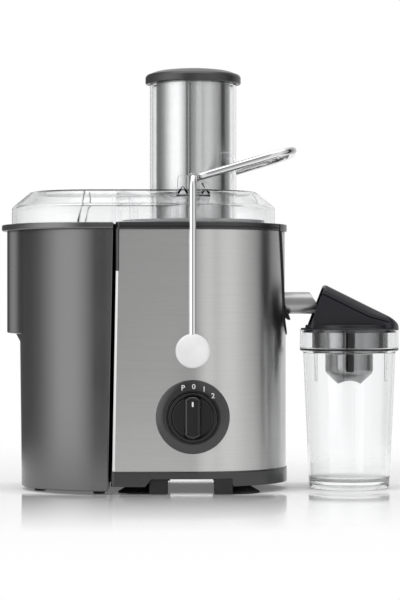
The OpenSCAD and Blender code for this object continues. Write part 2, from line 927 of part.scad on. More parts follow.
module safety_switch() {
    color("#e8e4d8") translate([axis_x + 12, wrap_r - 20, pivot_z - 8]) cube([8, 12, 18]);
}

// ---- pusher ----------------------------------------------------------------------------

cap_bottom = tube_top + 1;
foot_z = 212;
module pusher_sleeve() {
    color(steel) axis_ring(sleeve_r, sleeve_r - 0.9, foot_z + 4, cap_bottom + 4);
}

module pusher_cap() {
    color(dark) on_axis() difference() {
        rotate_extrude() polygon([
            [0, cap_bottom], [cap_r - 1, cap_bottom], [cap_r, cap_bottom + 1], [cap_r, cap_top - 6.5],
            [cap_r - 1.4, cap_top - 4.8], [cap_r - 9, cap_top - 2.8], [cap_r - 24, cap_top - 0.7],
            [0, cap_top]
        ]);
        difference() {
            translate([0, 0, cap_bottom - 1]) cylinder(r = sleeve_r, h = 5);
            translate([0, 0, cap_bottom - 2]) cylinder(r = sleeve_r - 0.9, h = 7);
        }
    }
}

module pusher_foot() {
    color(dark) on_axis() difference() {
        rotate_extrude() polygon([
            [0, foot_z + 3], [sleeve_r - 3, foot_z], [sleeve_r, foot_z + 1.5], [sleeve_r, foot_z + 4],
            [sleeve_r - 0.9, foot_z + 4], [sleeve_r - 0.9, foot_z + 14], [0, foot_z + 14]
        ]);
        for (turn = [0, 45, 90, 135]) rotate(turn)
            translate([-sleeve_r - 1, -1, foot_z - 1]) cube([2 * sleeve_r + 2, 2, 3]);
    }
}

// ---- pulp container --------------------------------------------------------------------

bin_top = bezel_top - 0.5;
bin_floor = 3;
bin_low_x = -83;
bin_high_x = -95;
bin_face = -82;

bulge_step = 9;
module bin_outside(inset) {
    long_round([
        [0, bin_floor + inset], [bin_r - 2.5 - inset, bin_floor + inset],
        [bin_r - 1.7 - inset, bin_floor + 1 + inset], [bin_r - inset, grip_z + 10],
        [bin_r - inset, bin_top], [0, bin_top]
    ], bin_low_x, bin_face);
    long_round([
        [0, grip_z + inset], [bin_r - 11 - inset, grip_z + inset],
        [bin_r - 1.5 - inset, grip_z + bulge_step + inset], [bin_r - inset, bin_top], [0, bin_top]
    ], bin_high_x, bin_face);
}

// Everything right of the container's flat inner face, with the hollow that clears the bay
module beside_bin(grow) {
    translate([bin_face - grow, -far / 2, -10]) cube([far, far, far]);
    on_axis(-10) cylinder(r = bay_r + 3.5 + grow, h = far);
}

module bin_rim() {
    rim = bin_r + lip;
    long_round([
        [0, bin_top - 5.8], [bin_r - 1, bin_top - 5.8], [rim - 0.8, bin_top - 5], [rim, bin_top - 4],
        [rim, bin_top - 0.8], [rim - 0.8, bin_top], [0, bin_top]
    ], bin_high_x - 1, bin_face);
}

module pulp_container() {
    color(dark) difference() {
        union() {
            bin_outside(0);
            bin_rim();
        }
        difference() {
            bin_outside(bin_wall);
            beside_bin(bin_wall);
            shelf_ring();
        }
        mouth();
        beside_bin(0);
    }
}

// The shelf that the lid skirt sits over, and the mouth inside it
module shelf_ring() {
    translate([-far / 2 - 100, -far / 2, bin_top - 2.6]) cube([far, far, 20]);
}

module mouth() {
    difference() {
        long_round([
            [0, bin_top - 10], [lid_r - 1.5, bin_top - 10], [lid_r - 1.5, bin_top + 1], [0, bin_top + 1]
        ], lid_left, bin_face);
        beside_bin(bin_wall);
    }
}

module container_feet() {
    color(black) for (p = [[-92, -66], [-92, 66], [-148, -30], [-148, 30]])
        translate([p[0], p[1], 0]) cylinder(r1 = 5, r2 = 6, h = bin_floor);
}

// ---- jug -------------------------------------------------------------------------------

band_bottom = 128;
jug_body_top_r = 43.4;
jug_body_low_r = 38.3;
jug_floor = 12;
module jug() {
    low = jug_body_low_r;
    high = jug_body_top_r;
    color(clear) translate([jug_x, 0, 0]) rotate_extrude() polygon([
        [0, 2.5], [31, 2.5], [32, 0], [33.8, 0], [34.4, 5], [low - 0.8, 6], [low, 8], [high, band_bottom],
        [jug_rim_r, band_bottom + 1.5], [jug_rim_r, jug_top], [jug_rim_r - jug_wall, jug_top],
        [jug_rim_r - jug_wall, band_bottom + 3.4], [high - jug_wall, band_bottom + 1.5],
        [low - jug_wall - 0.2, jug_floor + 2], [low - jug_wall - 2, jug_floor], [0, jug_floor]
    ]);
}

notch_half = 12.6;
notch_end = spout_tip + 1;
// Clear way for the spout when the hood lifts off
module spout_way(bottom, top) {
    translate([60, -notch_half, bottom]) cube([notch_end - 60, 2 * notch_half, top - bottom]);
}

hood_r = jug_rim_r;
peak_x = 116.6;
slope_end_x = 177.2;
mouth_x = 101.5;
module hood_side_view(inset) {
    seat = jug_top - 1;
    polygon([
        [mouth_x - 1, seat], [peak_x - 1.5, hood_peak - inset], [peak_x + 1.5, hood_peak - inset],
        [slope_end_x, hood_low - inset], [slope_end_x + 5, hood_low - 3.2 - inset],
        [jug_x + hood_r - 1.2, jug_top + 5 - inset], [jug_x + hood_r + 1, seat]
    ]);
}

// Bar along the slope whose upper edges are rounded off in three steps
module roof_bar(inset) {
    half = hood_half - inset;
    slope = atan((hood_peak - hood_low) / (slope_end_x - peak_x - 1.5));
    outline = [[half, -far], [half, -8], [half - 0.9, -4.6], [half - 3, -1.9], [half - 6.4, -0.4]];
    mirrored = [for (i = [len(outline) - 1:-1:0]) [-outline[i][0], outline[i][1]]];
    translate([peak_x, 0, hood_peak - inset]) rotate([0, slope, 0]) translate([-30, 0, 0])
        rotate([90, 0, 90]) linear_extrude(far) polygon(concat(outline, [[0, 2.2]], mirrored));
}

module hood_shape(inset, bottom) {
    intersection() {
        translate([jug_x, 0, bottom]) cylinder(r = hood_r - inset, h = far);
        translate([0, hood_r, 0]) rotate([90, 0, 0]) linear_extrude(2 * hood_r) hood_side_view(inset);
        roof_bar(inset);
    }
}

band_r = 42;
flange_t = 1.4;
// Wedge-shaped hood with flat sides and an open mouth towards the spout, on a round band with a
// flange that rests on the jug's rim
module jug_hood() {
    inner_z = jug_top + flange_t;
    color(black) difference() {
        union() {
            hood_shape(0, jug_top);
            translate([jug_x, 0, jug_top]) cylinder(r = jug_rim_r + 0.2, h = flange_t);
            translate([jug_x, 0, jug_top]) cylinder(r = band_r, h = flange_t + 2.9);
            translate([jug_x, 0, jug_top - 3]) cylinder(r = jug_rim_r - jug_wall - 0.4, h = 4);
        }
        hood_shape(2.4, inner_z);
        translate([-2.6, 0, 0]) hood_shape(2.6, inner_z);
        translate([jug_x, 0, jug_top - 5]) cylinder(r = collar_r, h = 5 + flange_t);
        spout_way(jug_top - 5, hood_peak - 5);
    }
}

// Bright collar with a narrow cup below it that holds back the froth, arched at its lower edge
cup_arch_z = 101.2;
cup_arch_r = 18.2;
module froth_separator() {
    collar_top = jug_top + 0.5;
    shelf_z = 128;
    cup_r = 22.6;
    color(steel) difference() {
        translate([jug_x, 0, 0]) rotate_extrude() polygon([
            [collar_r, collar_top], [collar_r, shelf_z], [cup_r, shelf_z - 1], [cup_r, 109], [10.3, 98],
            [9.3, 99], [cup_r - 1.2, 109.6], [cup_r - 1.2, shelf_z + 0.2], [collar_r - 1.2, shelf_z + 1.2],
            [collar_r - 1.2, collar_top]
        ]);
        spout_way(90, 180);
        translate([jug_x, 0, cup_arch_z - cup_arch_r]) rotate([90, 0, 0])
            cylinder(r = cup_arch_r, h = far, center = true);
    }
}

// ---- choice of node --------------------------------------------------------------------

steel_wrap();
inner_housing();
top_bezel();
slot_trim();
plinth();
foot_blocks();
base_plate();
suction_feet();
motor_deck();
motor_dampers();
upper_bracket();
lower_bracket();
bearings();
stator();
field_coils();
brush_holders();
carbon_brushes();
speed_switch();
dial_ring();
safety_switch();
pivot_pins();
cord_inlet();
base_screws();
juice_collector();
spout();
slot_panel();
hub_seal();
lid();
feed_tube();
bail_rod();
pivot_plates();
speed_knob();
knob_spindle();
motor_shaft();
armature();
commutator();
cooling_fan();
drive_coupling();
basket_frame();
sieve();
grater_disc();
pusher_sleeve();
pusher_cap();
pusher_foot();
pulp_container();
container_feet();
jug();
jug_hood();
froth_separator();
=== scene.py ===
"""Dressed model of a centrifugal juicer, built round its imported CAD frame.

Sizes are in millimetres, in the frame's own axes: +X to the jug, -Y to the user, +Z up. Meshes are
turned into metres when they are made. Each sub-assembly is a class that builds and dresses its pieces.
Depths of a finish's texture, lamps and the camera are in metres.
"""

import logging
import math
from dataclasses import dataclass
from enum import Enum
from typing import Iterable, Mapping, Sequence, Union

import bmesh
import bpy
import numpy as np
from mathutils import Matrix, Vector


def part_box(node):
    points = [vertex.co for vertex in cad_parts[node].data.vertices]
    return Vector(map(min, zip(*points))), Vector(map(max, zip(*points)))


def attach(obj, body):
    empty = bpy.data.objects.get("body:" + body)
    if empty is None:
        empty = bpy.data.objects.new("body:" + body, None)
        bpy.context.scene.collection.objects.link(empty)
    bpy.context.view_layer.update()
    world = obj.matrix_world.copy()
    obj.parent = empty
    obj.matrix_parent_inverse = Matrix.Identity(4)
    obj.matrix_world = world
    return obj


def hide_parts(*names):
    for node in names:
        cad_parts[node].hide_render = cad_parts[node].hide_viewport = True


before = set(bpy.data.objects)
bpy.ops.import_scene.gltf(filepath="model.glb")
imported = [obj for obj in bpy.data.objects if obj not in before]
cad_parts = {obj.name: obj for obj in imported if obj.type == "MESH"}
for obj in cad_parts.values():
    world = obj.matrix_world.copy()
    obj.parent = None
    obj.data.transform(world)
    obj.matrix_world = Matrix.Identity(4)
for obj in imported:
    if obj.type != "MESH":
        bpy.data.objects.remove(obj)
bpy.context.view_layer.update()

LOG = logging.getLogger("juicer")
MM = 0.001
TAU = 2 * math.pi

Number = Union[int, float]
Colour = tuple[float, float, float]
Points = np.ndarray


# ---- places taken from the frame -------------------------------------------------------


def node_centre(node: str) -> Points:
    """Middle of a CAD node's box at rest, in millimetres."""
    low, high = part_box(node)
    return (np.array(low) / MM + np.array(high) / MM) / 2


AXIS_X = float(node_centre("feed_tube")[0])
JUG_X = float(node_centre("jug")[0])


# ---- shader maths ----------------------------------------------------------------------


class Field:
    """A value that varies over a surface: a node's output socket that takes part in Python sums."""

    def __init__(self, shop: "Shop", socket: bpy.types.NodeSocket) -> None:
        """Keeps the socket and the node tree's maker."""
        self.shop = shop
        self.socket = socket

    def math(self, operation: str, *values: "Value") -> "Field":
        """Adds one Math node.

        Args:
            operation: Blender's name of the operation.
            values: numbers or fields, in the order of the node's sockets.

        Returns:
            The node's result.
        """
        return self.shop.node("ShaderNodeMath", {"operation": operation}, dict(enumerate(values)))

    def __add__(self, other: "Value") -> "Field":
        """Sum."""
        return self.math("ADD", self, other)

    __radd__ = __add__

    def __sub__(self, other: "Value") -> "Field":
        """Difference."""
        return self.math("SUBTRACT", self, other)

    def __rsub__(self, other: Number) -> "Field":
        """Difference with the number first."""
        return self.math("SUBTRACT", other, self)

    def __mul__(self, other: "Value") -> "Field":
        """Product."""
        return self.math("MULTIPLY", self, other)

    __rmul__ = __mul__

    def __truediv__(self, other: "Value") -> "Field":
        """Quotient."""
        return self.math("DIVIDE", self, other)

    def __pow__(self, other: "Value") -> "Field":
        """Power."""
        return self.math("POWER", self, other)

    def between(self, low: Number, high: Number) -> "Field":
        """Rises smoothly from 0 at low to 1 at high.

        Args:
            low: where the result is 0.
            high: where the result is 1.

        Returns:
            The mask.
        """
        inputs = {"Value": self, "From Min": low, "From Max": high}
        return self.shop.node("ShaderNodeMapRange", {"interpolation_type": "SMOOTHSTEP"}, inputs)


Value = Union[Number, Colour, tuple, Field]


class Shop:
    """Builds one material or world: makes its nodes and wires them."""

    def __init__(self, owner: Union[bpy.types.Material, bpy.types.World]) -> None:
        """Starts an empty node tree.

        Args:
            owner: the material or world that it belongs to.
        """
        self.owner = owner
        self.owner.use_nodes = True
        self.tree = self.owner.node_tree
        self.tree.nodes.clear()

    def node(self, kind: str, settings: Mapping[str, object] | None = None,
             inputs: Mapping[Union[str, int], Value] | None = None, output: Union[str, int] = 0) -> Field:
        """Adds a node of any type.

        Args:
            kind: Blender's type name of the node.
            settings: its properties, such as operation; the key stops gives a ramp's (place, colour) pairs.
            inputs: value or field for each socket, by name or index.
            output: which output is returned.

        Returns:
            That output as a field.
        """
        made = self.tree.nodes.new(kind)
        for key, value in (settings or {}).items():
            if key == "stops":
                self._set_stops(made.color_ramp, value)
            else:
                setattr(made, key, value)
        for key, value in (inputs or {}).items():
            self.feed(made.inputs[key], value)
        return Field(self, made.outputs[output])

    @staticmethod
    def _set_stops(ramp: bpy.types.ColorRamp, stops: Sequence[tuple[float, Colour]]) -> None:
        """Gives a colour ramp its stops.

        Args:
            ramp: the ramp.
            stops: place and colour of each stop, from left to right.
        """
        while len(ramp.elements) < len(stops):
            ramp.elements.new(1.0)
        for element, (place, colour) in zip(ramp.elements, stops):
            element.position = place
            element.color = (*colour, 1.0)

    def feed(self, socket: bpy.types.NodeSocket, value: Value) -> None:
        """Links a field to a socket, or sets the socket's own value.

        Args:
            socket: the input.
            value: a field to link, or a number, colour or vector to set.
        """
        if isinstance(value, Field):
            self.tree.links.new(value.socket, socket)
        elif isinstance(value, tuple) and socket.type == "RGBA":
            socket.default_value = (*value, 1.0)[:4]
        else:
            socket.default_value = value

    def axes(self, vector: Field) -> tuple[Field, Field, Field]:
        """The three parts of a vector."""
        parts = self.node("ShaderNodeSeparateXYZ", None, {0: vector}).socket.node
        return Field(self, parts.outputs[0]), Field(self, parts.outputs[1]), Field(self, parts.outputs[2])

    def ray(self, kind: str) -> Field:
        """1 where the ray is of a kind, such as Is Camera Ray."""
        return self.node("ShaderNodeLightPath", output=kind)

    def place(self, stretch: tuple[float, float, float] = (1.0, 1.0, 1.0)) -> Field:
        """Object coordinates in metres, stretched along each axis."""
        where = self.node("ShaderNodeTexCoord", output="Object")
        return self.node("ShaderNodeVectorMath", {"operation": "MULTIPLY"}, {0: where, 1: stretch})

    def noise(self, where: Field, scale: float, detail: float = 2.0, rough: float = 0.5) -> Field:
        """Noise around 0.5 at the given scale per metre."""
        return self.node("ShaderNodeTexNoise", None,
                         {"Vector": where, "Scale": scale, "Detail": detail, "Roughness": rough})

    def blend(self, factor: Value, first: Value, second: Value) -> Field:
        """Mixes two colours; factor 0 gives the first."""
        return self.node("ShaderNodeMix", {"data_type": "RGBA"},
                         {0: factor, 6: first, 7: second}, output=2)

    def bump(self, height: Field, strength: float, distance: float) -> Field:
        """Normal that follows a height field, with its depth in metres."""
        return self.node("ShaderNodeBump", None,
                         {"Height": height, "Strength": strength, "Distance": distance})

    def finish(self, **inputs: Value) -> bpy.types.Material:
        """Adds the surface shader and the output.

        Args:
            inputs: sockets of the Principled shader, with underscores for spaces.

        Returns:
            The finished material.
        """
        named = {key.replace("_", " "): value for key, value in inputs.items()}
        self.output(self.node("ShaderNodeBsdfPrincipled", None, named))
        return self.owner

    def output(self, surface: Field, kind: str = "ShaderNodeOutputMaterial") -> None:
        """Wires a shader to the output of the material or world."""
        target = self.tree.nodes.new(kind)
        self.tree.links.new(surface.socket, target.inputs["Surface"])


# ---- finishes --------------------------------------------------------------------------


class Grain(Enum):
    """Which way the brushing of a metal runs."""

    LEVEL = (14.0, 14.0, 2600.0)
    ROUND_X = (2400.0, 40.0, 40.0)


@dataclass(frozen=True)
class Finish:
    """Base of every finish: a slot name and a material made once."""

    name: str
    slot: str

    def material(self) -> bpy.types.Material:
        """The finish's material, made on first use."""
        known = bpy.data.materials.get(self.name)
        return known if known else self.make(Shop(bpy.data.materials.new(self.name)))

    def make(self, shop: Shop) -> bpy.types.Material:
        """Builds the material; each kind of finish has its own way."""
        raise NotImplementedError


def shade(colour: Colour, factor: float) -> Colour:
    """A colour made darker or paler, held at white."""
    return tuple(min(1.0, part * factor) for part in colour)


@dataclass(frozen=True)
class BrushedMetal(Finish):
    """Metal with fine brush lines, faint cloudiness and a soft sheen across the lines."""

    colour: Colour = (0.6, 0.6, 0.6)
    roughness: float = 0.3
    stretch: float = 0.9
    turn: float = 0.25
    grain: Grain = Grain.LEVEL
    line_depth: float = 0.000002
    contrast: float = 0.05

    def make(self, shop: Shop) -> bpy.types.Material:
        """Brush lines are noise stretched along the grain; they shift colour, roughness and height.

        Args:
            shop: maker of the material's nodes.

        Returns:
            The material.
        """
        lines = shop.noise(shop.place(self.grain.value), 1.0, 3.0, 0.65)
        cloud = shop.noise(shop.place(), 14.0, 2.0)
        dark, pale = shade(self.colour, 1 - self.contrast), shade(self.colour, 1 + self.contrast)
        return shop.finish(
            Base_Color=shop.blend(lines.between(0.25, 0.75), dark, pale),
            Metallic=1.0,
            Roughness=lines * 0.06 + cloud * 0.04 + (self.roughness - 0.05),
            Anisotropic=self.stretch,
            Anisotropic_Rotation=self.turn,
            Normal=shop.bump(lines, 0.2, self.line_depth),
        )


@dataclass(frozen=True)
class Chrome(Finish):
    """Polished plating with the faintest ripple and smudges."""

    colour: Colour = (0.83, 0.83, 0.84)
    roughness: float = 0.05

    def make(self, shop: Shop) -> bpy.types.Material:
        """Slow noise ripples the surface, and a second one smudges it.

        Args:
            shop: maker of the material's nodes.

        Returns:
            The material.
        """
        smudge = shop.noise(shop.place(), 60.0, 4.0)
        ripple = shop.noise(shop.place(), 180.0, 1.0)
        return shop.finish(
            Base_Color=self.colour,
            Metallic=1.0,
            Roughness=smudge * 0.06 + (self.roughness - 0.03),
            Normal=shop.bump(ripple, 0.2, 0.00001),
        )


@dataclass(frozen=True)
class MouldedPlastic(Finish):
    """Opaque moulded plastic: a spark-eroded texture, faint tone changes and a set gloss."""

    colour: Colour = (0.05, 0.05, 0.052)
    roughness: float = 0.4
    texture_scale: float = 1800.0
    texture_depth: float = 0.00002
    specular: float = 0.5
    ior: float = 1.5

    def make(self, shop: Shop) -> bpy.types.Material:
        """Fine noise is the mould texture, coarse noise shifts tone and gloss a little.

        Args:
            shop: maker of the material's nodes.

        Returns:
            The material.
        """
        texture = shop.noise(shop.place(), self.texture_scale, 2.0)
        tone = shop.noise(shop.place(), 22.0, 3.0)
        dark, pale = shade(self.colour, 0.93), shade(self.colour, 1.07)
        return shop.finish(
            Base_Color=shop.blend(tone.between(0.35, 0.65), dark, pale),
            Roughness=tone * 0.08 + texture * 0.06 + (self.roughness - 0.07),
            Specular_IOR_Level=self.specular,
            IOR=self.ior,
            Normal=shop.bump(texture, 0.4, self.texture_depth),
        )


@dataclass(frozen=True)
class ClearPlastic(Finish):
    """Clear polished plastic, with a hint of moulding ripple."""

    colour: Colour = (0.985, 0.99, 0.992)
    roughness: float = 0.0
    ior: float = 1.49

    def make(self, shop: Shop) -> bpy.types.Material:
        """Refracting plastic; slow noise ripples its skin as moulding does.

        Args:
            shop: maker of the material's nodes.

        Returns:
            The material.
        """
        ripple = shop.noise(shop.place(), 35.0, 1.5)
        haze = shop.noise(shop.place(), 90.0, 2.0)
        return shop.finish(
            Base_Color=self.colour,
            Roughness=haze * 0.004 + self.roughness,
            IOR=self.ior,
            Transmission_Weight=1.0,
            Normal=shop.bump(ripple, 0.05, 0.00003),
        )


@dataclass(frozen=True)
class PrintedInk(Finish):
    """Thin pale ink of the printed marks."""

    colour: Colour = (0.85, 0.85, 0.84)

    def make(self, shop: Shop) -> bpy.types.Material:
        """Even ink, slightly mottled."""
        mottle = shop.noise(shop.place(), 900.0, 2.0)
        return shop.finish(Base_Color=shop.blend(mottle, shade(self.colour, 0.9), self.colour), Roughness=0.5)


@dataclass(frozen=True)
class Laminations(Finish):
    """Stack of thin sheets seen from the side, or turns of wire."""

    colour: Colour = (0.2, 0.2, 0.22)
    pitch_per_metre: float = 900.0
    metallic: float = 0.8
    roughness: float = 0.45

    def make(self, shop: Shop) -> bpy.types.Material:
        """Bands across the height are the sheets or turns.

        Args:
            shop: maker of the material's nodes.

        Returns:
            The material.
        """
        bands = shop.node("ShaderNodeTexWave", {"bands_direction": "Z"},
                          {"Vector": shop.place(), "Scale": self.pitch_per_metre / 6.0, "Distortion": 0.4}, 1)
        return shop.finish(
            Base_Color=shop.blend(bands, shade(self.colour, 0.55), self.colour),
            Metallic=self.metallic,
            Roughness=self.roughness,
            Normal=shop.bump(bands, 0.3, 0.0001),
        )


STEEL_WRAP = BrushedMetal("housing_brushed_steel", "brushed_steel", colour=(0.62, 0.62, 0.615))
STEEL_SLEEVE = BrushedMetal("sleeve_steel", "satin_steel", colour=(0.66, 0.66, 0.66), roughness=0.2,
                            contrast=0.03)
STEEL_SPOUT = BrushedMetal("spout_steel", "satin_steel", colour=(0.42, 0.42, 0.42), roughness=0.3,
                           grain=Grain.ROUND_X, stretch=0.2, contrast=0.08)
STEEL_SIEVE = BrushedMetal("sieve_steel", "satin_steel", colour=(0.62, 0.62, 0.62), roughness=0.34,
                           stretch=0.0)
PANEL_GREY = MouldedPlastic("panel_grey", "satin_steel", colour=(0.5, 0.5, 0.5), roughness=0.35)
ROD_CHROME = Chrome("rod_chrome", "chrome_rod")
CUP_CHROME = Chrome("separator_chrome", "chrome_rod", colour=(0.3, 0.3, 0.305), roughness=0.12)
PLATE_WHITE = MouldedPlastic("pivot_white", "white_plate", colour=(0.88, 0.88, 0.88), roughness=0.3,
                             texture_depth=0.000002)
CONTAINER_GREY = MouldedPlastic("container_grey", "dark_plastic", colour=(0.012, 0.012, 0.013),
                                roughness=0.24, texture_depth=0.000006, specular=0.85, ior=1.9)
RIM_GREY = MouldedPlastic("rim_grey", "dark_plastic", colour=(0.016, 0.016, 0.017), roughness=0.24,
                          texture_depth=0.000006, specular=0.8)
CAP_GREY = MouldedPlastic("cap_grey", "dark_plastic", colour=(0.03, 0.03, 0.031), roughness=0.3,
                          texture_depth=0.000006, specular=0.8)
DEEP_BLACK = MouldedPlastic("moulded_black", "black_plastic", colour=(0.008, 0.008, 0.008), roughness=0.45,
                            specular=0.3)
HOOD_BLACK = MouldedPlastic("hood_black", "black_plastic", colour=(0.004, 0.004, 0.009), roughness=0.33,
                            texture_scale=900.0, texture_depth=0.00008, specular=0.6)
KNOB_BLACK = MouldedPlastic("knob_gloss", "gloss_black", colour=(0.006, 0.006, 0.006), roughness=0.12,
                            texture_depth=0.0, specular=0.6)
DIAL_GREY = MouldedPlastic("dial_grey", "dial_plastic", colour=(0.02, 0.02, 0.021), roughness=0.24,
                           texture_depth=0.000004, specular=0.8)
RUBBER = MouldedPlastic("foot_rubber", "rubber", colour=(0.014, 0.014, 0.014), roughness=0.7)
CLEAR = ClearPlastic("polished_clear", "clear_plastic")
BOWL_GREY = MouldedPlastic("bowl_grey", "grey_plastic", colour=(0.74, 0.75, 0.76), roughness=0.3,
                           texture_depth=0.000004)
SWITCH_CREAM = MouldedPlastic("switch_cream", "pale_plastic", colour=(0.75, 0.73, 0.66), roughness=0.45)
CAST_METAL = BrushedMetal("cast_metal", "cast_bracket", colour=(0.55, 0.55, 0.55), roughness=0.5, stretch=0.0)
TURNED_STEEL = BrushedMetal("turned_steel", "machined_steel", colour=(0.5, 0.5, 0.51), roughness=0.28)
CORE_SHEETS = Laminations("core_sheets", "lamination")
COPPER_WIRE = Laminations("copper_wire", "copper", colour=(0.55, 0.22, 0.1), metallic=0.6, roughness=0.35)
BRASS = BrushedMetal("brass_holder", "brass", colour=(0.6, 0.45, 0.2), roughness=0.35, stretch=0.0)
CARBON = MouldedPlastic("brush_carbon", "carbon", colour=(0.03, 0.03, 0.03), roughness=0.55)
INK = PrintedInk("dial_ink", "dial_plastic")

NODE_FINISHES: dict[str, Finish] = {
    "steel_wrap": STEEL_WRAP, "inner_housing": DEEP_BLACK, "top_bezel": RIM_GREY, "slot_trim": DEEP_BLACK,
    "plinth": RIM_GREY, "foot_blocks": RUBBER, "base_plate": DEEP_BLACK, "suction_feet": RUBBER,
    "motor_deck": DEEP_BLACK, "motor_dampers": RUBBER, "upper_bracket": CAST_METAL,
    "lower_bracket": CAST_METAL, "bearings": TURNED_STEEL, "stator": CORE_SHEETS,
    "field_coils": COPPER_WIRE, "brush_holders": BRASS, "carbon_brushes": CARBON,
    "speed_switch": SWITCH_CREAM, "dial_ring": DIAL_GREY, "safety_switch": SWITCH_CREAM,
    "pivot_pins": TURNED_STEEL, "cord_inlet": RUBBER, "base_screws": TURNED_STEEL,
    "juice_collector": BOWL_GREY, "spout": STEEL_SPOUT, "slot_panel": PANEL_GREY, "hub_seal": RUBBER,
    "lid": CLEAR, "feed_tube": CLEAR, "bail_rod": ROD_CHROME, "pivot_plates": PLATE_WHITE,
    "speed_knob": KNOB_BLACK, "knob_spindle": TURNED_STEEL, "motor_shaft": TURNED_STEEL,
    "armature": CORE_SHEETS, "commutator": COPPER_WIRE, "cooling_fan": DEEP_BLACK,
    "drive_coupling": DEEP_BLACK, "basket_frame": BOWL_GREY, "sieve": STEEL_SIEVE,
    "grater_disc": STEEL_SIEVE, "pusher_sleeve": STEEL_SLEEVE, "pusher_cap": CAP_GREY,
    "pusher_foot": CAP_GREY, "pulp_container": CONTAINER_GREY, "container_feet": RUBBER,
    "jug": CLEAR, "jug_hood": HOOD_BLACK, "froth_separator": CUP_CHROME,
}


# ---- surfaces --------------------------------------------------------------------------


def unit(vectors: Points) -> Points:
    """Scales vectors in the last axis to length 1."""
    length = np.linalg.norm(vectors, axis=-1, keepdims=True)
    return vectors / np.maximum(length, 1e-12)


def soften(points: Sequence[Sequence[float]], radius: Union[float, Sequence[float]], steps: int = 4,
           closed: bool = False) -> Points:
    """Rounds the corners of a line.

    A corner C whose neighbours lie along the unit vectors a and b becomes the curve
    (1-t)^2 (C + r a) + 2 t (1-t) C + t^2 (C + r b), with a point 0.6 r further out on each side that
    keeps the straight stretches flat under smooth shading.

    Args:
        points: corners of the line.
        radius: distance r at every corner, or one for each corner that is rounded.
        steps: faces in each curve.
        closed: whether the last point joins the first.

    Returns:
        The line's points.
    """
    line = np.array(points, float)
    ring = np.vstack([line[-1:], line, line[:1]]) if closed else line
    before, corner, after = ring[:-2], ring[1:-1], ring[2:]
    reach = 0.3 * np.minimum(np.linalg.norm(before - corner, axis=1), np.linalg.norm(after - corner, axis=1))
    r = np.minimum(np.broadcast_to(np.asarray(radius, float), len(corner)), reach)[:, None, None]
    a, b = unit(before - corner)[:, None], unit(after - corner)[:, None]
    c = corner[:, None]
    t = np.linspace(0, 1, steps + 1)[None, :, None]
    curve = (1 - t) ** 2 * (c + r * a) + 2 * t * (1 - t) * c + t**2 * (c + r * b)
    curve = np.concatenate([c + 1.6 * r * a, curve, c + 1.6 * r * b], axis=1)
    rounded = curve.reshape(-1, line.shape[1])
    return rounded if closed else np.vstack([line[:1], rounded, line[-1:]])


def arc(centre: Sequence[float], radius: float, start: float, end: float, count: int) -> Points:
    """Points of a circle's arc in a plane.

    Args:
        centre: its middle.
        radius: its radius.
        start: first angle in degrees.
        end: last angle in degrees.
        count: number of points.

    Returns:
        An array of count points.
    """
    angle = np.radians(np.linspace(start, end, count))
    return np.array(centre) + radius * np.stack([np.cos(angle), np.sin(angle)], axis=-1)


@dataclass(frozen=True)
class Stand:
    """Where a local shape stands: its origin and the directions of its three axes."""

    origin: Sequence[float]
    right: Sequence[float] = (1.0, 0.0, 0.0)
    up: Sequence[float] = (0.0, 1.0, 0.0)
    out: Sequence[float] = (0.0, 0.0, 1.0)

    def place(self, local: Points) -> Points:
        """Local coordinates times the axes, plus the origin."""
        return np.array(self.origin, float) + local @ np.array([self.right, self.up, self.out], float)


ORIGIN = Stand((0, 0, 0))
ON_AXIS = Stand((AXIS_X, 0, 0))
ON_JUG = Stand((JUG_X, 0, 0))


def facing_front(x: float, y: float, z: float) -> Stand:
    """Stand of a part on the front: local up is +Z, and it grows towards the user."""
    return Stand((x, y, z), up=(0, 0, 1), out=(0, -1, 0))


def facing_rear(x: float, y: float, z: float) -> Stand:
    """Stand of a part on the rear, the mirror of the front's."""
    return Stand((x, y, z), up=(0, 0, 1), out=(0, 1, 0))


@dataclass
class Shell:
    """Surface on a grid: points[row, column] in millimetres."""

    points: Points
    close_rows: bool = False
    close_columns: bool = True
    finish: "Finish | None" = None

    def faces(self) -> Points:
        """Quads between neighbouring rows and columns.

        Returns:
            Four point numbers for each quad.
        """
        rows, columns = self.points.shape[:2]
        i, j = np.meshgrid(np.arange(rows - (not self.close_rows)),
                           np.arange(columns - (not self.close_columns)), indexing="ij")
        below, above = i * columns, (i + 1) % rows * columns
        left, right = j, (j + 1) % columns
        return np.stack([below + left, below + right, above + right, above + left], axis=-1).reshape(-1, 4)


def cap_ends(grid: Points) -> list[Shell]:
    """Closes the first and last column of a grid, each on the middle of its edge."""
    edges = grid[:, 0], grid[:, -1]
    return [Shell(np.stack([edge, np.tile(edge.mean(0), (len(edge), 1))])) for edge in edges]


def pinch_ends(grid: Points) -> Points:
    """Adds a column at each end of a grid, all of it on the middle of the end's edge."""
    first, last = (edge.mean(0, keepdims=True).repeat(len(grid), 0) for edge in (grid[:, :1], grid[:, -1:]))
    return np.concatenate([first, grid, last], axis=1)


def at_height(flat: Points, height: float) -> Points:
    """Row of plan points in space, all at one height."""
    return np.concatenate([flat, np.full((len(flat), 1), height)], axis=-1)


def add_third(flat: Points, third: Points) -> Points:
    """Adds a third coordinate to a flat grid, one value for each row."""
    return np.concatenate([flat, np.broadcast_to(third[:, None, None], flat.shape[:2] + (1,))], axis=-1)


def revolve(profile: Points, stand: Stand, count: int = 128, closed: bool = False) -> Shell:
    """Turns a profile about the stand's out axis.

    The point at radius r and height h goes to (r cos a, r sin a, h) for every angle a.

    Args:
        profile: points of radius and height.
        stand: where the axis is.
        count: number of faces round.
        closed: whether the profile's last point joins its first, as on a ring.

    Returns:
        The surface.
    """
    angle = np.arange(count) * TAU / count
    r, h = profile[:, 0:1], profile[:, 1:2]
    local = np.stack([r * np.cos(angle), r * np.sin(angle), h + 0 * angle], axis=-1)
    return Shell(stand.place(local), close_rows=closed)


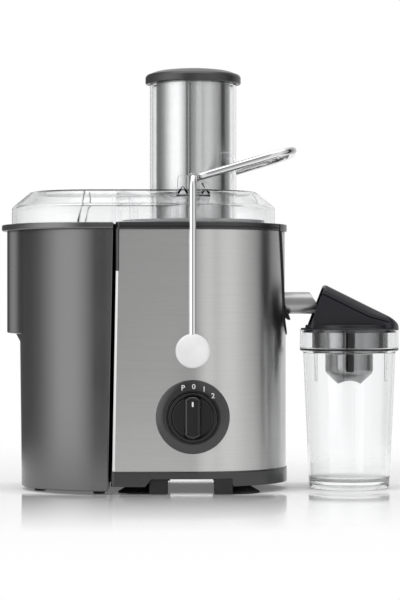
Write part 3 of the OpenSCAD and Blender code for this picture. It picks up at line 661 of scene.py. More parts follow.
@dataclass(frozen=True)
class Outline:
    """Closed plan curve, anticlockwise, with the unit vector that points outwards at each point."""

    points: Points
    outward: Points

    @staticmethod
    def of(points: Points) -> "Outline":
        """Outline through points; outwards is the tangent turned by a right angle."""
        tangent = unit(np.roll(points, -1, axis=0) - np.roll(points, 1, axis=0))
        return Outline(points, np.stack([tangent[:, 1], -tangent[:, 0]], axis=-1))

    def carry(self, profile: Points) -> Points:
        """Carries a profile of (offset outwards, height) round the outline.

        The point at offset o and height h goes to P + o N, at height h, for every outline point P with
        outward vector N.

        Args:
            profile: points of offset and height.

        Returns:
            Grid of points, one row for each point of the profile.
        """
        flat = self.points[None] + profile[:, 0, None, None] * self.outward[None]
        return add_third(flat, profile[:, 1])


def long_round(left: float, right: float, count: int = 48, flat: int = 24) -> Outline:
    """Line from left to right whose offset by r is a strip with round ends of radius r.

    Args:
        left: x of the left centre.
        right: x of the right centre.
        count: faces in each round end.
        flat: faces along each straight side.

    Returns:
        The outline, from the lower right going anticlockwise.
    """
    bow = np.radians(np.linspace(-90, 90, count + 1))
    ahead = np.stack([np.cos(bow), np.sin(bow)], axis=-1)
    run = np.linspace(right, left, flat + 1)[1:-1]
    centres = np.concatenate([np.full(count + 1, right), run, np.full(count + 1, left), run[::-1]])
    beside = np.tile([0.0, 1.0], (flat - 1, 1))
    outward = np.concatenate([ahead, beside, -ahead, -beside])
    return Outline(np.stack([centres, 0 * centres], axis=-1), outward)


def gather(rows: Points, centre: Sequence[float], shares: Sequence[float]) -> Points:
    """Draws one row of points towards a point, which closes a floor or a top.

    Args:
        rows: the row, an array of points.
        centre: the point that the row closes on.
        shares: how far each new row still is from the centre, 1 for the row itself.

    Returns:
        One row for each share.
    """
    share = np.array(shares, float)[:, None, None]
    return np.array(centre, float) + share * (rows[None] - np.array(centre, float))


def slab(outline: Points, stand: Stand, low: float, high: float, edge: float = 0.4) -> Shell:
    """Plate with a given outline and rounded edges.

    Its rows are the outline, drawn in by the edge radius at both faces, and each face closes on the middle.

    Args:
        outline: points in the stand's plane, anticlockwise.
        stand: where the plate is.
        low: height of its back.
        high: height of its face.
        edge: radius of its edges.

    Returns:
        The surface.
    """
    shape = Outline.of(outline)
    middle = outline.mean(axis=0)
    side = soften([(-2.6 * edge, low), (0, low), (0, high), (-2.6 * edge, high)], edge, 3)
    walls = shape.carry(side)
    bottom = gather(walls[0], (*middle, low), (0.0, 0.5))
    top = gather(walls[-1], (*middle, high), (0.5, 0.0))
    return Shell(stand.place(np.concatenate([bottom, walls, top])))


def tube(path: Points, reference: Points, radius: float, count: int) -> Shell:
    """Round rod along a path.

    At each point of the path with tangent T, the reference direction made square to T gives N, and
    B is T x N; the circle is P + r (N cos a + B sin a).

    Args:
        path: points of the middle line.
        reference: a direction for each point that is never along the path.
        radius: its radius r.
        count: faces round the rod.

    Returns:
        The surface, closed at both ends.
    """
    tangent = unit(np.gradient(path, axis=0))
    across = unit(reference - (reference * tangent).sum(-1, keepdims=True) * tangent)
    third = np.cross(tangent, across)
    angle = np.arange(count) * TAU / count
    ring = across[:, None] * np.cos(angle)[None, :, None] + third[:, None] * np.sin(angle)[None, :, None]
    body = path[:, None] + radius * ring
    return Shell(np.concatenate([gather(body[0], path[0], (0.0,)), body, gather(body[-1], path[-1], (0.0,))]))


def bent_path(corners: Sequence[Sequence[float]], bends: Sequence[float], steps: int = 14,
              spacing: float = 4.0) -> Points:
    """Middle line of a bent rod: straight stretches joined by circular bends.

    Where two stretches meet at a right angle at corner C, with unit vectors a back and b ahead, the bend is
    C + r (a + b) - r (b cos s + a sin s), turned from the first stretch to the second as s goes 0 to 90.

    Args:
        corners: points where the stretches meet, and the two ends.
        bends: bend radius at each inner corner.
        steps: points in each bend.
        spacing: greatest distance between points of a straight stretch.

    Returns:
        Points of the line.
    """
    corner = np.array(corners, float)
    turn = np.linspace(0, math.pi / 2, steps)[:, None]
    pieces: list[Points] = []
    start = corner[0]
    for c, back, ahead, r in zip(corner[1:-1], corner[:-2] - corner[1:-1], corner[2:] - corner[1:-1], bends):
        a, b = unit(back), unit(ahead)
        pieces.append(straight(start, c + r * a, spacing))
        pieces.append(c + r * (a + b) - r * (b * np.cos(turn) + a * np.sin(turn)))
        start = c + r * b
    pieces.append(straight(start, corner[-1], spacing))
    return np.vstack([pieces[0]] + [piece[1:] for piece in pieces[1:]])


def straight(start: Points, end: Points, spacing: float) -> Points:
    """Evenly spaced points from start to end, at most about the spacing apart."""
    count = max(2, int(np.linalg.norm(end - start) / spacing) + 1)
    return start + (end - start) * np.linspace(0, 1, count)[:, None]


# ---- pieces ----------------------------------------------------------------------------


def add_object(name: str, data: bpy.types.ID) -> bpy.types.Object:
    """Puts an object with the given data in the scene.

    Args:
        name: the object's name.
        data: its mesh, light, camera or curve.

    Returns:
        The object, at the origin.
    """
    made = bpy.data.objects.new(name, data)
    bpy.context.scene.collection.objects.link(made)
    return made


def flat_mesh(name: str, points: Points, faces: Sequence[Sequence[int]],
              material: bpy.types.Material) -> bpy.types.Mesh:
    """Mesh of plain faces with one material.

    Args:
        name: the mesh's name.
        points: its points in millimetres.
        faces: point numbers of each face.
        material: its material.

    Returns:
        The mesh, in metres.
    """
    mesh = bpy.data.meshes.new(name)
    mesh.from_pydata((np.array(points) * MM).tolist(), [], faces)
    mesh.materials.append(material)
    return mesh


@dataclass
class Piece:
    """One visible object: its surfaces, the body it rides on and the CAD nodes it stands for."""

    name: str
    body: str
    finish: Finish
    shells: list[Shell]
    stands_for: tuple[str, ...] = ()
    wall: float = 0.0
    sharp_angle: float = 38.0

    def make(self) -> None:
        """Builds the mesh in metres, dresses it and ties it to its body; the object stays at the origin."""
        finishes = [shell.finish or self.finish for shell in self.shells]
        palette = list(dict.fromkeys(finishes))
        starts = np.cumsum([0] + [shell.points.shape[0] * shell.points.shape[1] for shell in self.shells])
        points = np.concatenate([shell.points.reshape(-1, 3) for shell in self.shells]) * MM
        quads = [shell.faces() + start for shell, start in zip(self.shells, starts)]
        kinds = np.concatenate([np.full(len(q), palette.index(f)) for q, f in zip(quads, finishes)])
        mesh = bpy.data.meshes.new(self.name)
        mesh.from_pydata(points.tolist(), [], np.concatenate(quads).tolist())
        mesh.polygons.foreach_set("material_index", kinds.astype(np.int32))
        self.tidy(mesh)
        for finish in palette:
            mesh.materials.append(finish.material())
        made = add_object(self.name, mesh)
        if self.wall:
            solid = made.modifiers.new("wall", "SOLIDIFY")
            solid.thickness, solid.offset, solid.use_even_offset = self.wall * MM, -1.0, True
        register(made, self.body, self.stands_for)

    def tidy(self, mesh: bpy.types.Mesh) -> None:
        """Merges doubled points, turns closed shells outwards and sets smooth shading.

        Args:
            mesh: the piece's mesh.
        """
        work = bmesh.new()
        work.from_mesh(mesh)
        bmesh.ops.remove_doubles(work, verts=work.verts, dist=0.003 * MM)
        if not self.wall:
            bmesh.ops.recalc_face_normals(work, faces=work.faces)
        work.to_mesh(mesh)
        work.free()
        mesh.shade_smooth()
        mesh.set_sharp_from_angle(angle=math.radians(self.sharp_angle))


def register(made: bpy.types.Object, body: str, nodes: Iterable[str]) -> None:
    """Ties an object to its body and the nodes it stands for, and reports it.

    Args:
        made: the object.
        body: the body it rides on.
        nodes: the CAD nodes that it replaces.
    """
    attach(made, body)
    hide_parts(*nodes)
    LOG.info("%s: %d faces on %s", made.name, len(made.data.polygons), body)


def dress_nodes(finishes: Mapping[str, Finish]) -> None:
    """Gives every CAD node its finish.

    Args:
        finishes: the finish of each node, by the node's name.
    """
    for node, finish in finishes.items():
        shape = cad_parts[node]
        shape.data.materials.clear()
        shape.data.materials.append(finish.material())
        LOG.info("%s: finish %s", node, finish.name)


# ---- housing ---------------------------------------------------------------------------


@dataclass
class Housing:
    """Steel wrap with its rim band, plinth, spout slot and feet."""

    radius: float = 87.0
    left: float = -75.6
    lean: float = 0.0175
    corner: float = 4.0
    chamfer: float = 2.4
    fold: float = 12.0
    sheet: float = 1.2
    bottom: float = 21.0
    top: float = 240.7
    bay: float = 81.0
    rim_top: float = 247.0
    rim_ledge: float = 244.2
    rim_gap: float = 35.5
    rim_radii: tuple[float, float, float] = (80.0, 79.3, 76.6)
    tab_drop: float = 38.0
    tab_radius: float = 2.6
    plinth_low: float = 7.6
    plinth_wall: float = 11.5
    channel: tuple[float, float] = (-46.8, 30.4)
    channel_rise: float = 6.9
    slot_radius: float = 24.0
    slot_floor: float = 168.0
    slot_lean: float = math.radians(9)
    trim_width: float = 3.4
    lip_half: float = 14.8
    lip_low: float = 158.6
    lip_crest: float = 172.0
    lip_reach: float = 5.6
    spout_z: float = 174.0
    spout_clear: float = 10.6
    panel_wall: float = 2.4
    foot_x: tuple[float, float] = (-54.0, 34.0)
    foot_y: float = 52.5
    block_x: tuple[float, float] = (-46.0, 12.6)
    block_width: float = 17.0

    def make(self) -> None:
        """Builds every piece of the housing."""
        self.wrap()
        self.rim_band()
        self.plinth()
        self.slot()
        self.feet()

    def slot_half_width(self, z: Points) -> Points:
        """Half width of the slot: a circle up to its tangent point, then a side that leans outwards.

        Args:
            z: heights above the counter.

        Returns:
            The half width at each height.
        """
        lift = z - self.slot_floor
        round_part = np.sqrt(np.maximum(self.slot_radius**2 - lift**2, 0))
        tangent = self.slot_radius * math.sin(self.slot_lean)
        leaning = self.slot_radius * math.cos(self.slot_lean) + (lift - tangent) * math.tan(self.slot_lean)
        return np.where(lift < tangent, round_part, leaning)

    def wrap_top(self, points: Points) -> Points:
        """Height of the steel's upper edge, lower where the slot cuts into it.

        Args:
            points: plan points of the wall.

        Returns:
            The height at each point.
        """
        tries = np.linspace(self.slot_floor - self.slot_radius, self.top, 1500)
        inside = self.slot_half_width(tries)[None] >= np.abs(points[:, 1])[:, None]
        first = tries[np.argmax(inside, axis=1)]
        cut = inside.any(axis=1) & (points[:, 0] > AXIS_X + 20)
        return np.where(cut, first, self.top)

    def wrap(self) -> None:
        """Steel sheet: an upright wall along the plan from the left rear edge round to the left front edge.

        The plan is a line in front, a half circle on the right and a line at the rear, with a chamfer and
        a folded edge at each left corner. The point at plan place P and share v is
        (P, bottom + v (top(P) - bottom)), and the left corners move out by the lean times the depth
        below the top.
        """
        half, left, run = self.radius, self.left, self.left + 8
        low_corner = soften([(left, self.fold / 2 - half), (left, 1.5 - half), (left + self.chamfer, -half),
                             (run, -half)], 0.5, 3)
        sides = np.radians(np.concatenate([np.linspace(-90, -27, 50), np.linspace(-26.6, 26.6, 160),
                                           np.linspace(27, 90, 50)]))
        bow = np.array([AXIS_X, 0]) + half * np.stack([np.cos(sides), np.sin(sides)], axis=-1)
        fold = np.array([[left, self.fold - half]])
        front = np.stack([np.linspace(run, AXIS_X, 16)[1:-1], np.full(14, -half)], axis=-1)
        plan = np.vstack([fold, low_corner, front, bow, front[::-1] * (1, -1), low_corner[::-1] * (1, -1),
                          fold * (1, -1)])
        share = np.concatenate([[0, 0.004], np.linspace(0.02, 0.98, 13), [0.996, 1]])[:, None]
        height = self.bottom + share * (self.wrap_top(plan) - self.bottom)[None]
        grid = np.concatenate([np.broadcast_to(plan, (len(share),) + plan.shape), height[..., None]], axis=-1)
        grid[..., 0] -= self.lean * (self.top - grid[..., 2]) * np.clip((AXIS_X - grid[..., 0]) / 60, 0, 1)
        Piece("steel_sheet", "base", STEEL_WRAP, [Shell(grid, close_columns=False)], ("steel_wrap",),
              wall=self.sheet).make()

    def plan(self, grow: float, bay: float) -> Points:
        """Outer plan of the rim band or plinth: the wrap's plan with the round bay on the left.

        Args:
            grow: distance outside the wrap.
            bay: radius of the bay about the drive axis.

        Returns:
            Points, anticlockwise from the right end.
        """
        half = self.radius + grow
        beside_rim, beside_foot = 0.6, self.lean * 220 + grow
        left = self.left - (beside_rim if bay > self.bay else beside_foot)
        meet = math.sqrt(bay**2 - (left - AXIS_X) ** 2)
        reach = math.degrees(math.asin(meet / bay))
        right_low = arc((AXIS_X, 0), half, -90, 0, 70)
        right_high = arc((AXIS_X, 0), half, 0, 90, 70)[1:]
        rear = straight(np.array([AXIS_X, half]), np.array([left + self.corner, half]), 5.0)[1:-1]
        high = arc((left + self.corner, half - self.corner), self.corner, 90, 180, 8)
        bulge = arc((AXIS_X, 0), bay, 180 - reach, 180 + reach, 40)
        low = arc((left + self.corner, self.corner - half), self.corner, 180, 270, 8)
        return np.vstack([right_high, rear, high, bulge, low, rear[::-1] * (1, -1), right_low[:-1]])

    def rim_band(self) -> None:
        """Dark band round the top, open at the spout slot.

        Its outer face follows the plan, and its inner faces are circles about the drive axis. Each plan
        point at polar angle a goes inwards to radius r at the same angle.
        """
        outline = Outline.of(self.plan(1.0, self.bay + 1.5))
        angle = np.arctan2(outline.points[:, 1], outline.points[:, 0] - AXIS_X)
        keep = np.abs(angle) > math.asin(self.rim_gap / (self.radius + 1))
        order = np.argsort(np.mod(angle[keep], TAU), kind="stable")
        outline = Outline(outline.points[keep][order], outline.outward[keep][order])
        ray = np.stack([np.cos(angle[keep][order]), np.sin(angle[keep][order])], axis=-1)
        face = [(-3, self.top), (0, self.top), (0, self.rim_top), (-4, self.rim_top)]
        outer = outline.carry(soften(face, 0.7))
        groove = outline.carry(np.array([(0, self.top + 2.0), (-0.5, self.top + 2.3), (0, self.top + 2.6)]))
        outer = np.concatenate([outer[:8], groove, outer[8:]])
        mouth, wall, seat = self.rim_radii
        steps = ((mouth, self.rim_top), (wall, self.rim_top - 0.5), (wall, self.rim_ledge),
                 (seat, self.rim_ledge), (seat, self.top))
        inner = [at_height(np.array([AXIS_X, 0]) + radius * ray, z) for radius, z in steps]
        band = Shell(np.concatenate([outer, np.array(inner)]), close_rows=True, close_columns=False)
        tabs = [self.rim_tab(side) for side in (-1, 1)]
        Piece("rim_band", "base", RIM_GREY, [band, *cap_ends(band.points), *tabs], ("top_bezel",)).make()

    def rim_tab(self, side: int) -> Shell:
        """Strip that wraps a left corner below the band.

        Args:
            side: -1 in front, 1 at the rear.

        Returns:
            The surface.
        """
        bend = self.tab_radius
        centre = (self.left + bend, bend - self.radius)
        outside, inside = (arc(centre, bend + clear, 180, 270, 14) for clear in (0.9, 0.05))
        plan = (np.vstack([outside, inside[::-1]]) * (1, -side))[::-side]
        return slab(plan, ORIGIN, self.top - self.tab_drop, self.top + 1, 0.15)

    def plinth(self) -> None:
        """Dark foot of the housing: a wall under the steel with a channel across its lower side."""
        outline = Outline.of(self.plan(1.0, self.bay))
        angle = np.arctan2(outline.points[:, 1], outline.points[:, 0] - AXIS_X)
        order = np.argsort(np.mod(angle, TAU), kind="stable")
        points, outward = outline.points[order], outline.outward[order]
        low, high, inside = self.plinth_low, self.bottom, -self.plinth_wall
        grid = Outline(points, outward).carry(soften(
            [(-1, low), (0, low), (0, high), (inside, high), (inside, low), (-1, low)], 0.8))
        floor = self.channel_floor(points[:, 0])
        grid[..., 2] = floor[None] + (grid[..., 2] - low) * ((high - floor) / (high - low))[None]
        Piece("plinth_wall", "base", RIM_GREY, [Shell(grid, close_rows=True)], ("plinth",)).make()

    def channel_floor(self, x: Points) -> Points:
        """Lower edge of the plinth along x: raised over the channel between the feet."""
        ramp = np.clip(np.minimum(x - self.channel[0], self.channel[1] - x) / 0.8, 0, 1)
        return self.plinth_low + self.channel_rise * ramp

    def slot(self) -> None:
        """Trim, panel and rim bridge that close the slot above the spout."""
        self.slot_trim()
        self.slot_panel()
        self.rim_bridge()

    @staticmethod
    def on_wall(y: Points, z: Points, radius: Points) -> Points:
        """Puts side-view points on the right-hand wall at a radius from the drive axis."""
        return np.stack([AXIS_X + np.sqrt(radius**2 - y**2), y, z], axis=-1)

    def slot_trim(self) -> None:
        """Dark strip along the slot's edge: a rounded bar carried down one side, round the floor and up.

        The middle line is the slot's outline drawn in by half the bar's width.
        """
        tangent = math.degrees(self.slot_lean)
        bend = arc((0, self.slot_floor), 1.0, 180 - tangent, 360 + tangent, 49)
        normal = bend - np.array([0, self.slot_floor])
        rise = np.linspace(self.top - 0.1, self.slot_floor + 4, 24)
        side = np.stack([-self.slot_half_width(rise), rise], axis=-1)
        floor = np.array([0, self.slot_floor]) + self.slot_radius * normal
        line = np.vstack([side, floor[1:-1], side[::-1] * (-1, 1)])
        first, last = (np.tile(end, (len(side), 1)) for end in (normal[0], normal[-1]))
        inward = -np.vstack([first, normal[1:-1], last])
        outer, inner, width = self.radius + 1.2, self.radius - 3.7, self.trim_width
        bar = soften([(0.1, outer), (width, outer), (width, inner), (0.1, inner)], 0.8, closed=True)
        yz = line[None] + bar[:, 0, None, None] * inward[None]
        grid = self.on_wall(yz[..., 0], yz[..., 1], np.broadcast_to(bar[:, 1, None], yz.shape[:2]))
        parts = [Shell(grid, close_rows=True, close_columns=False), *cap_ends(grid), self.drip_lip()]
        Piece("spout_slot_trim", "base", DEEP_BLACK, parts, ("slot_trim",)).make()

    def drip_lip(self) -> Shell:
        """Lip that leans out of the panel below the spout.

        At the place y across, its face runs from the tip at (reach, low) to (1, crest), and it is cut
        off where it would come nearer to the spout than its clear radius r: at the height
        spout - sqrt(r^2 - y^2). Offsets are measured from the panel's round face.

        Returns:
            The surface.
        """
        y = np.linspace(-self.lip_half, self.lip_half, 41)[:, None]
        low, crest, clear = self.lip_low, self.lip_crest, self.spout_clear
        high = np.where(np.abs(y) < clear, self.spout_z - np.sqrt(np.maximum(clear**2 - y**2, 0)), crest)
        high = np.clip(high, low + 2, crest)
        lean = self.lip_reach - (high - low) * (self.lip_reach - 1) / (crest - low)
        level, tip = 0 * high, self.lip_reach
        flat = np.concatenate([level + tip - 0.7, level + tip, lean, level - 0.3, level - 0.3], axis=1)
        z = np.concatenate([level + low - 0.7, level + low, high, high, level + low + 3], axis=1)
        face = AXIS_X + np.sqrt((self.radius - 1) ** 2 - y**2)
        grid = np.stack([face + flat, y + 0 * flat, z], axis=-1)
        caps = [end.mean(1, keepdims=True).repeat(5, 1) for end in (grid[:1], grid[-1:])]
        return Shell(np.concatenate([caps[0], grid, caps[1]]))

    def slot_panel(self) -> None:
        """Panel inside the trim; its half width is the slot's, less the trim and a narrow gap."""
        z = np.linspace(self.slot_floor - self.slot_radius + self.trim_width + 0.4, self.top, 60)[:, None]
        lift = z - self.slot_floor
        across = np.linspace(-1, 1, 25)[None]
        inner = self.slot_radius - self.trim_width - 0.3
        round_part = np.sqrt(np.maximum(inner**2 - lift**2, 0.01))
        leaning = self.slot_half_width(z) - (self.trim_width + 0.3) / math.cos(self.slot_lean)
        half = np.where(lift < inner * math.sin(self.slot_lean), round_part, leaning)
        y = half * across
        panel = Shell(self.on_wall(y, z + 0 * across, np.full_like(y, self.radius - 1)), close_columns=False)
        Piece("spout_slot_panel", "base", PANEL_GREY, [panel], ("slot_panel",), wall=self.panel_wall).make()

    def rim_bridge(self) -> None:
        """Stretch of rim band on the panel: a section carried along an arc about the drive axis."""
        ray = np.radians(np.linspace(-23.4, 23.4, 40))
        back, face, low, high = 79.2, self.radius + 1, self.top + 0.1, self.rim_top
        section = soften([(back, low), (face, low), (face, high), (back, high)], 0.7, closed=True)
        flat = section[:, 0, None, None] * np.stack([np.cos(ray), np.sin(ray)], axis=-1)[None]
        grid = add_third(flat + np.array([AXIS_X, 0]), section[:, 1])
        bridge = Shell(grid, close_rows=True, close_columns=False)
        Piece("rim_band_bridge", "base", RIM_GREY, [bridge, *cap_ends(grid)]).make()

    def feet(self) -> None:
        """Suction feet and the square blocks at the channel's corners."""
        cup = soften([(0, 3.1), (8, 2.6), (16.5, 0.6), (18, 0), (21, 0), (21, 1.4), (13, 6), (9, 7.6),
                      (9, 14.9), (6, 14.9), (6, 19), (0, 19)], [2, 1, 0.5, 0.5, 0.6, 3, 2, 0.6, 0.3, 0.3])
        cups = [revolve(cup, Stand((x, side * self.foot_y, 0)), 64) for x in self.foot_x for side in (-1, 1)]
        Piece("suction_cups", "base", RUBBER, cups, ("suction_feet",)).make()
        near, far, wide = self.radius - 11, self.radius - 2, self.block_width
        blocks = []
        for x in self.block_x:
            plan = soften([(x, near), (x + wide, near), (x + wide, far), (x, far)], 1.5, closed=True)
            blocks += [slab((plan * (1, side))[::side], ORIGIN, 1.0, 14.45, 0.8) for side in (-1, 1)]
        Piece("corner_blocks", "base", RUBBER, blocks, ("foot_blocks",)).make()


# ---- speed control ---------------------------------------------------------------------


@dataclass
class SpeedControl:
    """Round dial with its marks, and the knob with its grip bar."""

    height: float = 70.7
    ring_radius: float = 33.4
    ring_edge: float = 0.5
    crown_low: float = 0.9
    crown_rise: float = 2.2
    ink_lift: float = 0.16
    knob_radius: float = 22.8
    knob_gap: float = 1.5
    grip_length: float = 37.6
    grip_width: float = 13.6
    mark_height: float = 4.6
    marks: tuple[tuple[str, float, float], ...] = (
        ("P", -8.6, 26.6), ("0", 0.9, 27.6), ("1", 10.2, 25.4), ("2", 18.2, 19.4))

    def stand(self) -> Stand:
        """The dial's place on the steel front."""
        return facing_front(AXIS_X, -87.0, self.height)

    @property
    def crown_run(self) -> float:
        """Width of the ring's crown, from its edge to the gap round the knob."""
        return self.ring_radius - self.ring_edge - self.knob_radius - self.knob_gap

    def crown(self, share: Points) -> Points:
        """Height of the crown at each share of its run, counted from the edge inwards."""
        return self.crown_low + self.crown_rise * np.sin(share * math.pi / 2)

    def make(self) -> None:
        """Builds the ring, its marks and the knob."""
        r, k = self.ring_radius, self.knob_radius
        share = np.linspace(0, 1, 9)[:, None]
        crown = np.hstack([r - self.ring_edge - share * self.crown_run, self.crown(share)])
        ring = np.vstack([[(7, 0), (r, 0.02), (r, 0.5)], crown, [(k + 1.0, 2.9), (k + 0.7, 1.4), (7, 1.4)]])
        face = revolve(ring, self.stand(), 160, closed=True)
        Piece("dial_face", "base", DIAL_GREY, [face], ("dial_ring",)).make()
        self.printed_marks()
        self.knob()

    def knob(self) -> None:
        """Skirt, sunken face and grip bar of the knob, with its pointer line."""
        k, stand = self.knob_radius, self.stand()
        skirt = soften([(0, 2.2), (k - 0.4, 2.2), (k, 3.2), (k - 1.0, 9.0), (k - 3.0, 9.0), (k - 4.4, 7.6),
                        (0, 7.4)], [0.4, 0.5, 0.7, 0.7, 1.0])
        w, h = self.grip_width / 2, self.grip_length / 2
        bend = w * 1.3
        plan = np.vstack([arc((0, h - bend), bend, 40, 140, 13), arc((0, bend - h), bend, 220, 320, 13)])
        plan[:, 0] = np.clip(plan[:, 0], -w, w)
        rounded = Outline.of(soften(plan, 0.5, 2, closed=True))
        side = soften([(1.4, 7.0), (0.4, 9.0), (0, 15.4), (-1.6, 16.5), (-3.0, 16.5)], [1, 2, 1.2])
        walls = rounded.carry(side)
        grip = Shell(stand.place(np.concatenate([walls, gather(walls[-1], (0, 0, 16.4), (0.5, 0.0))])))
        line = soften([(-0.8, h - 9), (0.8, h - 9), (0.8, h - 2.6), (-0.8, h - 2.6)], 0.3, closed=True)
        pointer = slab(line, stand, 16.3, 16.49, 0.08)
        pointer.finish = INK
        parts = [revolve(skirt, stand, 160), grip, pointer]
        Piece("control_knob", "knob", KNOB_BLACK, parts, ("speed_knob",)).make()

    def printed_marks(self) -> None:
        """Pale marks on the ring, set as text, turned into a mesh and laid on the ring's face."""
        shells, faces, count = [], [], 0
        for text, x, z in self.marks:
            points, polygons = self.letter(text)
            middle = (points.min(0) + points.max(0)) / 2
            scale = self.mark_height / np.ptp(points[:, 1])
            flat = (points[:, :2] - middle[:2]) * scale * (1.05, 1) + (x, z)
            radius = np.linalg.norm(flat, axis=1, keepdims=True)
            share = np.clip((self.ring_radius - self.ring_edge - radius) / self.crown_run, 0, 1)
            lift = self.crown(share) + self.ink_lift
            shells.append(self.stand().place(np.concatenate([flat, lift], axis=1)))
            faces += [[count + v for v in polygon] for polygon in polygons]
            count += len(points)
        mesh = flat_mesh("dial_marks", np.concatenate(shells), faces, INK.material())
        register(add_object("dial_marks", mesh), "base", ())

    @staticmethod
    def letter(text: str) -> tuple[Points, list[list[int]]]:
        """Shape of one character as a flat mesh.

        Args:
            text: the character.

        Returns:
            Its points and its polygons, facing its own +Z.
        """
        curve = bpy.data.curves.new("mark", "FONT")
        curve.body, curve.offset = text, 0.012
        holder = add_object("mark", curve)
        bpy.context.view_layer.update()
        shape = holder.to_mesh()
        points = np.empty(len(shape.vertices) * 3)
        shape.vertices.foreach_get("co", points)
        polygons = [list(polygon.vertices) for polygon in shape.polygons]
        holder.to_mesh_clear()
        bpy.data.objects.remove(holder)
        bpy.data.curves.remove(curve)
        return points.reshape(-1, 3), polygons


# ---- locking bail ----------------------------------------------------------------------


@dataclass
class LockingBail:
    """Rod that swings over the lid, with a round plate at each pivot."""

    rod: float = 7.0
    pivot_z: float = 130.5
    leg_y: float = 94.0
    plate_y: float = 88.5
    cross_z: float = 288.0
    arm_y: float = 48.0
    rise: float = math.radians(16.4)
    reach: float = 92.8
    bends: tuple[float, float, float] = (12.0, 14.0, 24.0)

    def make(self) -> None:
        """Builds the rod and its plates."""
        tip_x, tip_z = AXIS_X + self.reach, self.cross_z + self.reach * math.tan(self.rise)
        leg, cross, loop = self.bends
        front = [(AXIS_X, -self.leg_y, self.pivot_z + 8), (AXIS_X, -self.leg_y, self.cross_z),
                 (AXIS_X, -self.arm_y, self.cross_z), (tip_x, -self.arm_y, tip_z)]
        rear = [(x, -y, z) for x, y, z in front[::-1]]
        path = bent_path(front + rear, (leg, cross, loop, loop, cross, leg))
        lean = np.array([-math.sin(self.rise), 0.0, math.cos(self.rise)])
        share = np.clip((self.leg_y - 14 - np.abs(path[:, 1:2])) / 16, 0, 1)
        reference = unit((1 - share) * np.array([1.0, 0, 0]) + share * lean)
        Piece("bail_bar", "bail", ROD_CHROME, [tube(path, reference, self.rod / 2, 32)], ("bail_rod",)).make()
        plate = soften([(0, 0), (14.6, 0), (15.5, 1.0), (15.5, 8.2), (13.6, 9.8), (8, 10.5), (0, 10.5)],
                       [0.4, 0.5, 1.2, 1.6, 4])
        stands = (facing_front(AXIS_X, -self.plate_y, self.pivot_z),
                  facing_rear(AXIS_X, self.plate_y, self.pivot_z))
        Piece("pivot_discs", "bail", PLATE_WHITE, [revolve(plate, stand, 128) for stand in stands],
              ("pivot_plates",)).make()


# ---- lid, feed tube and collector ------------------------------------------------------


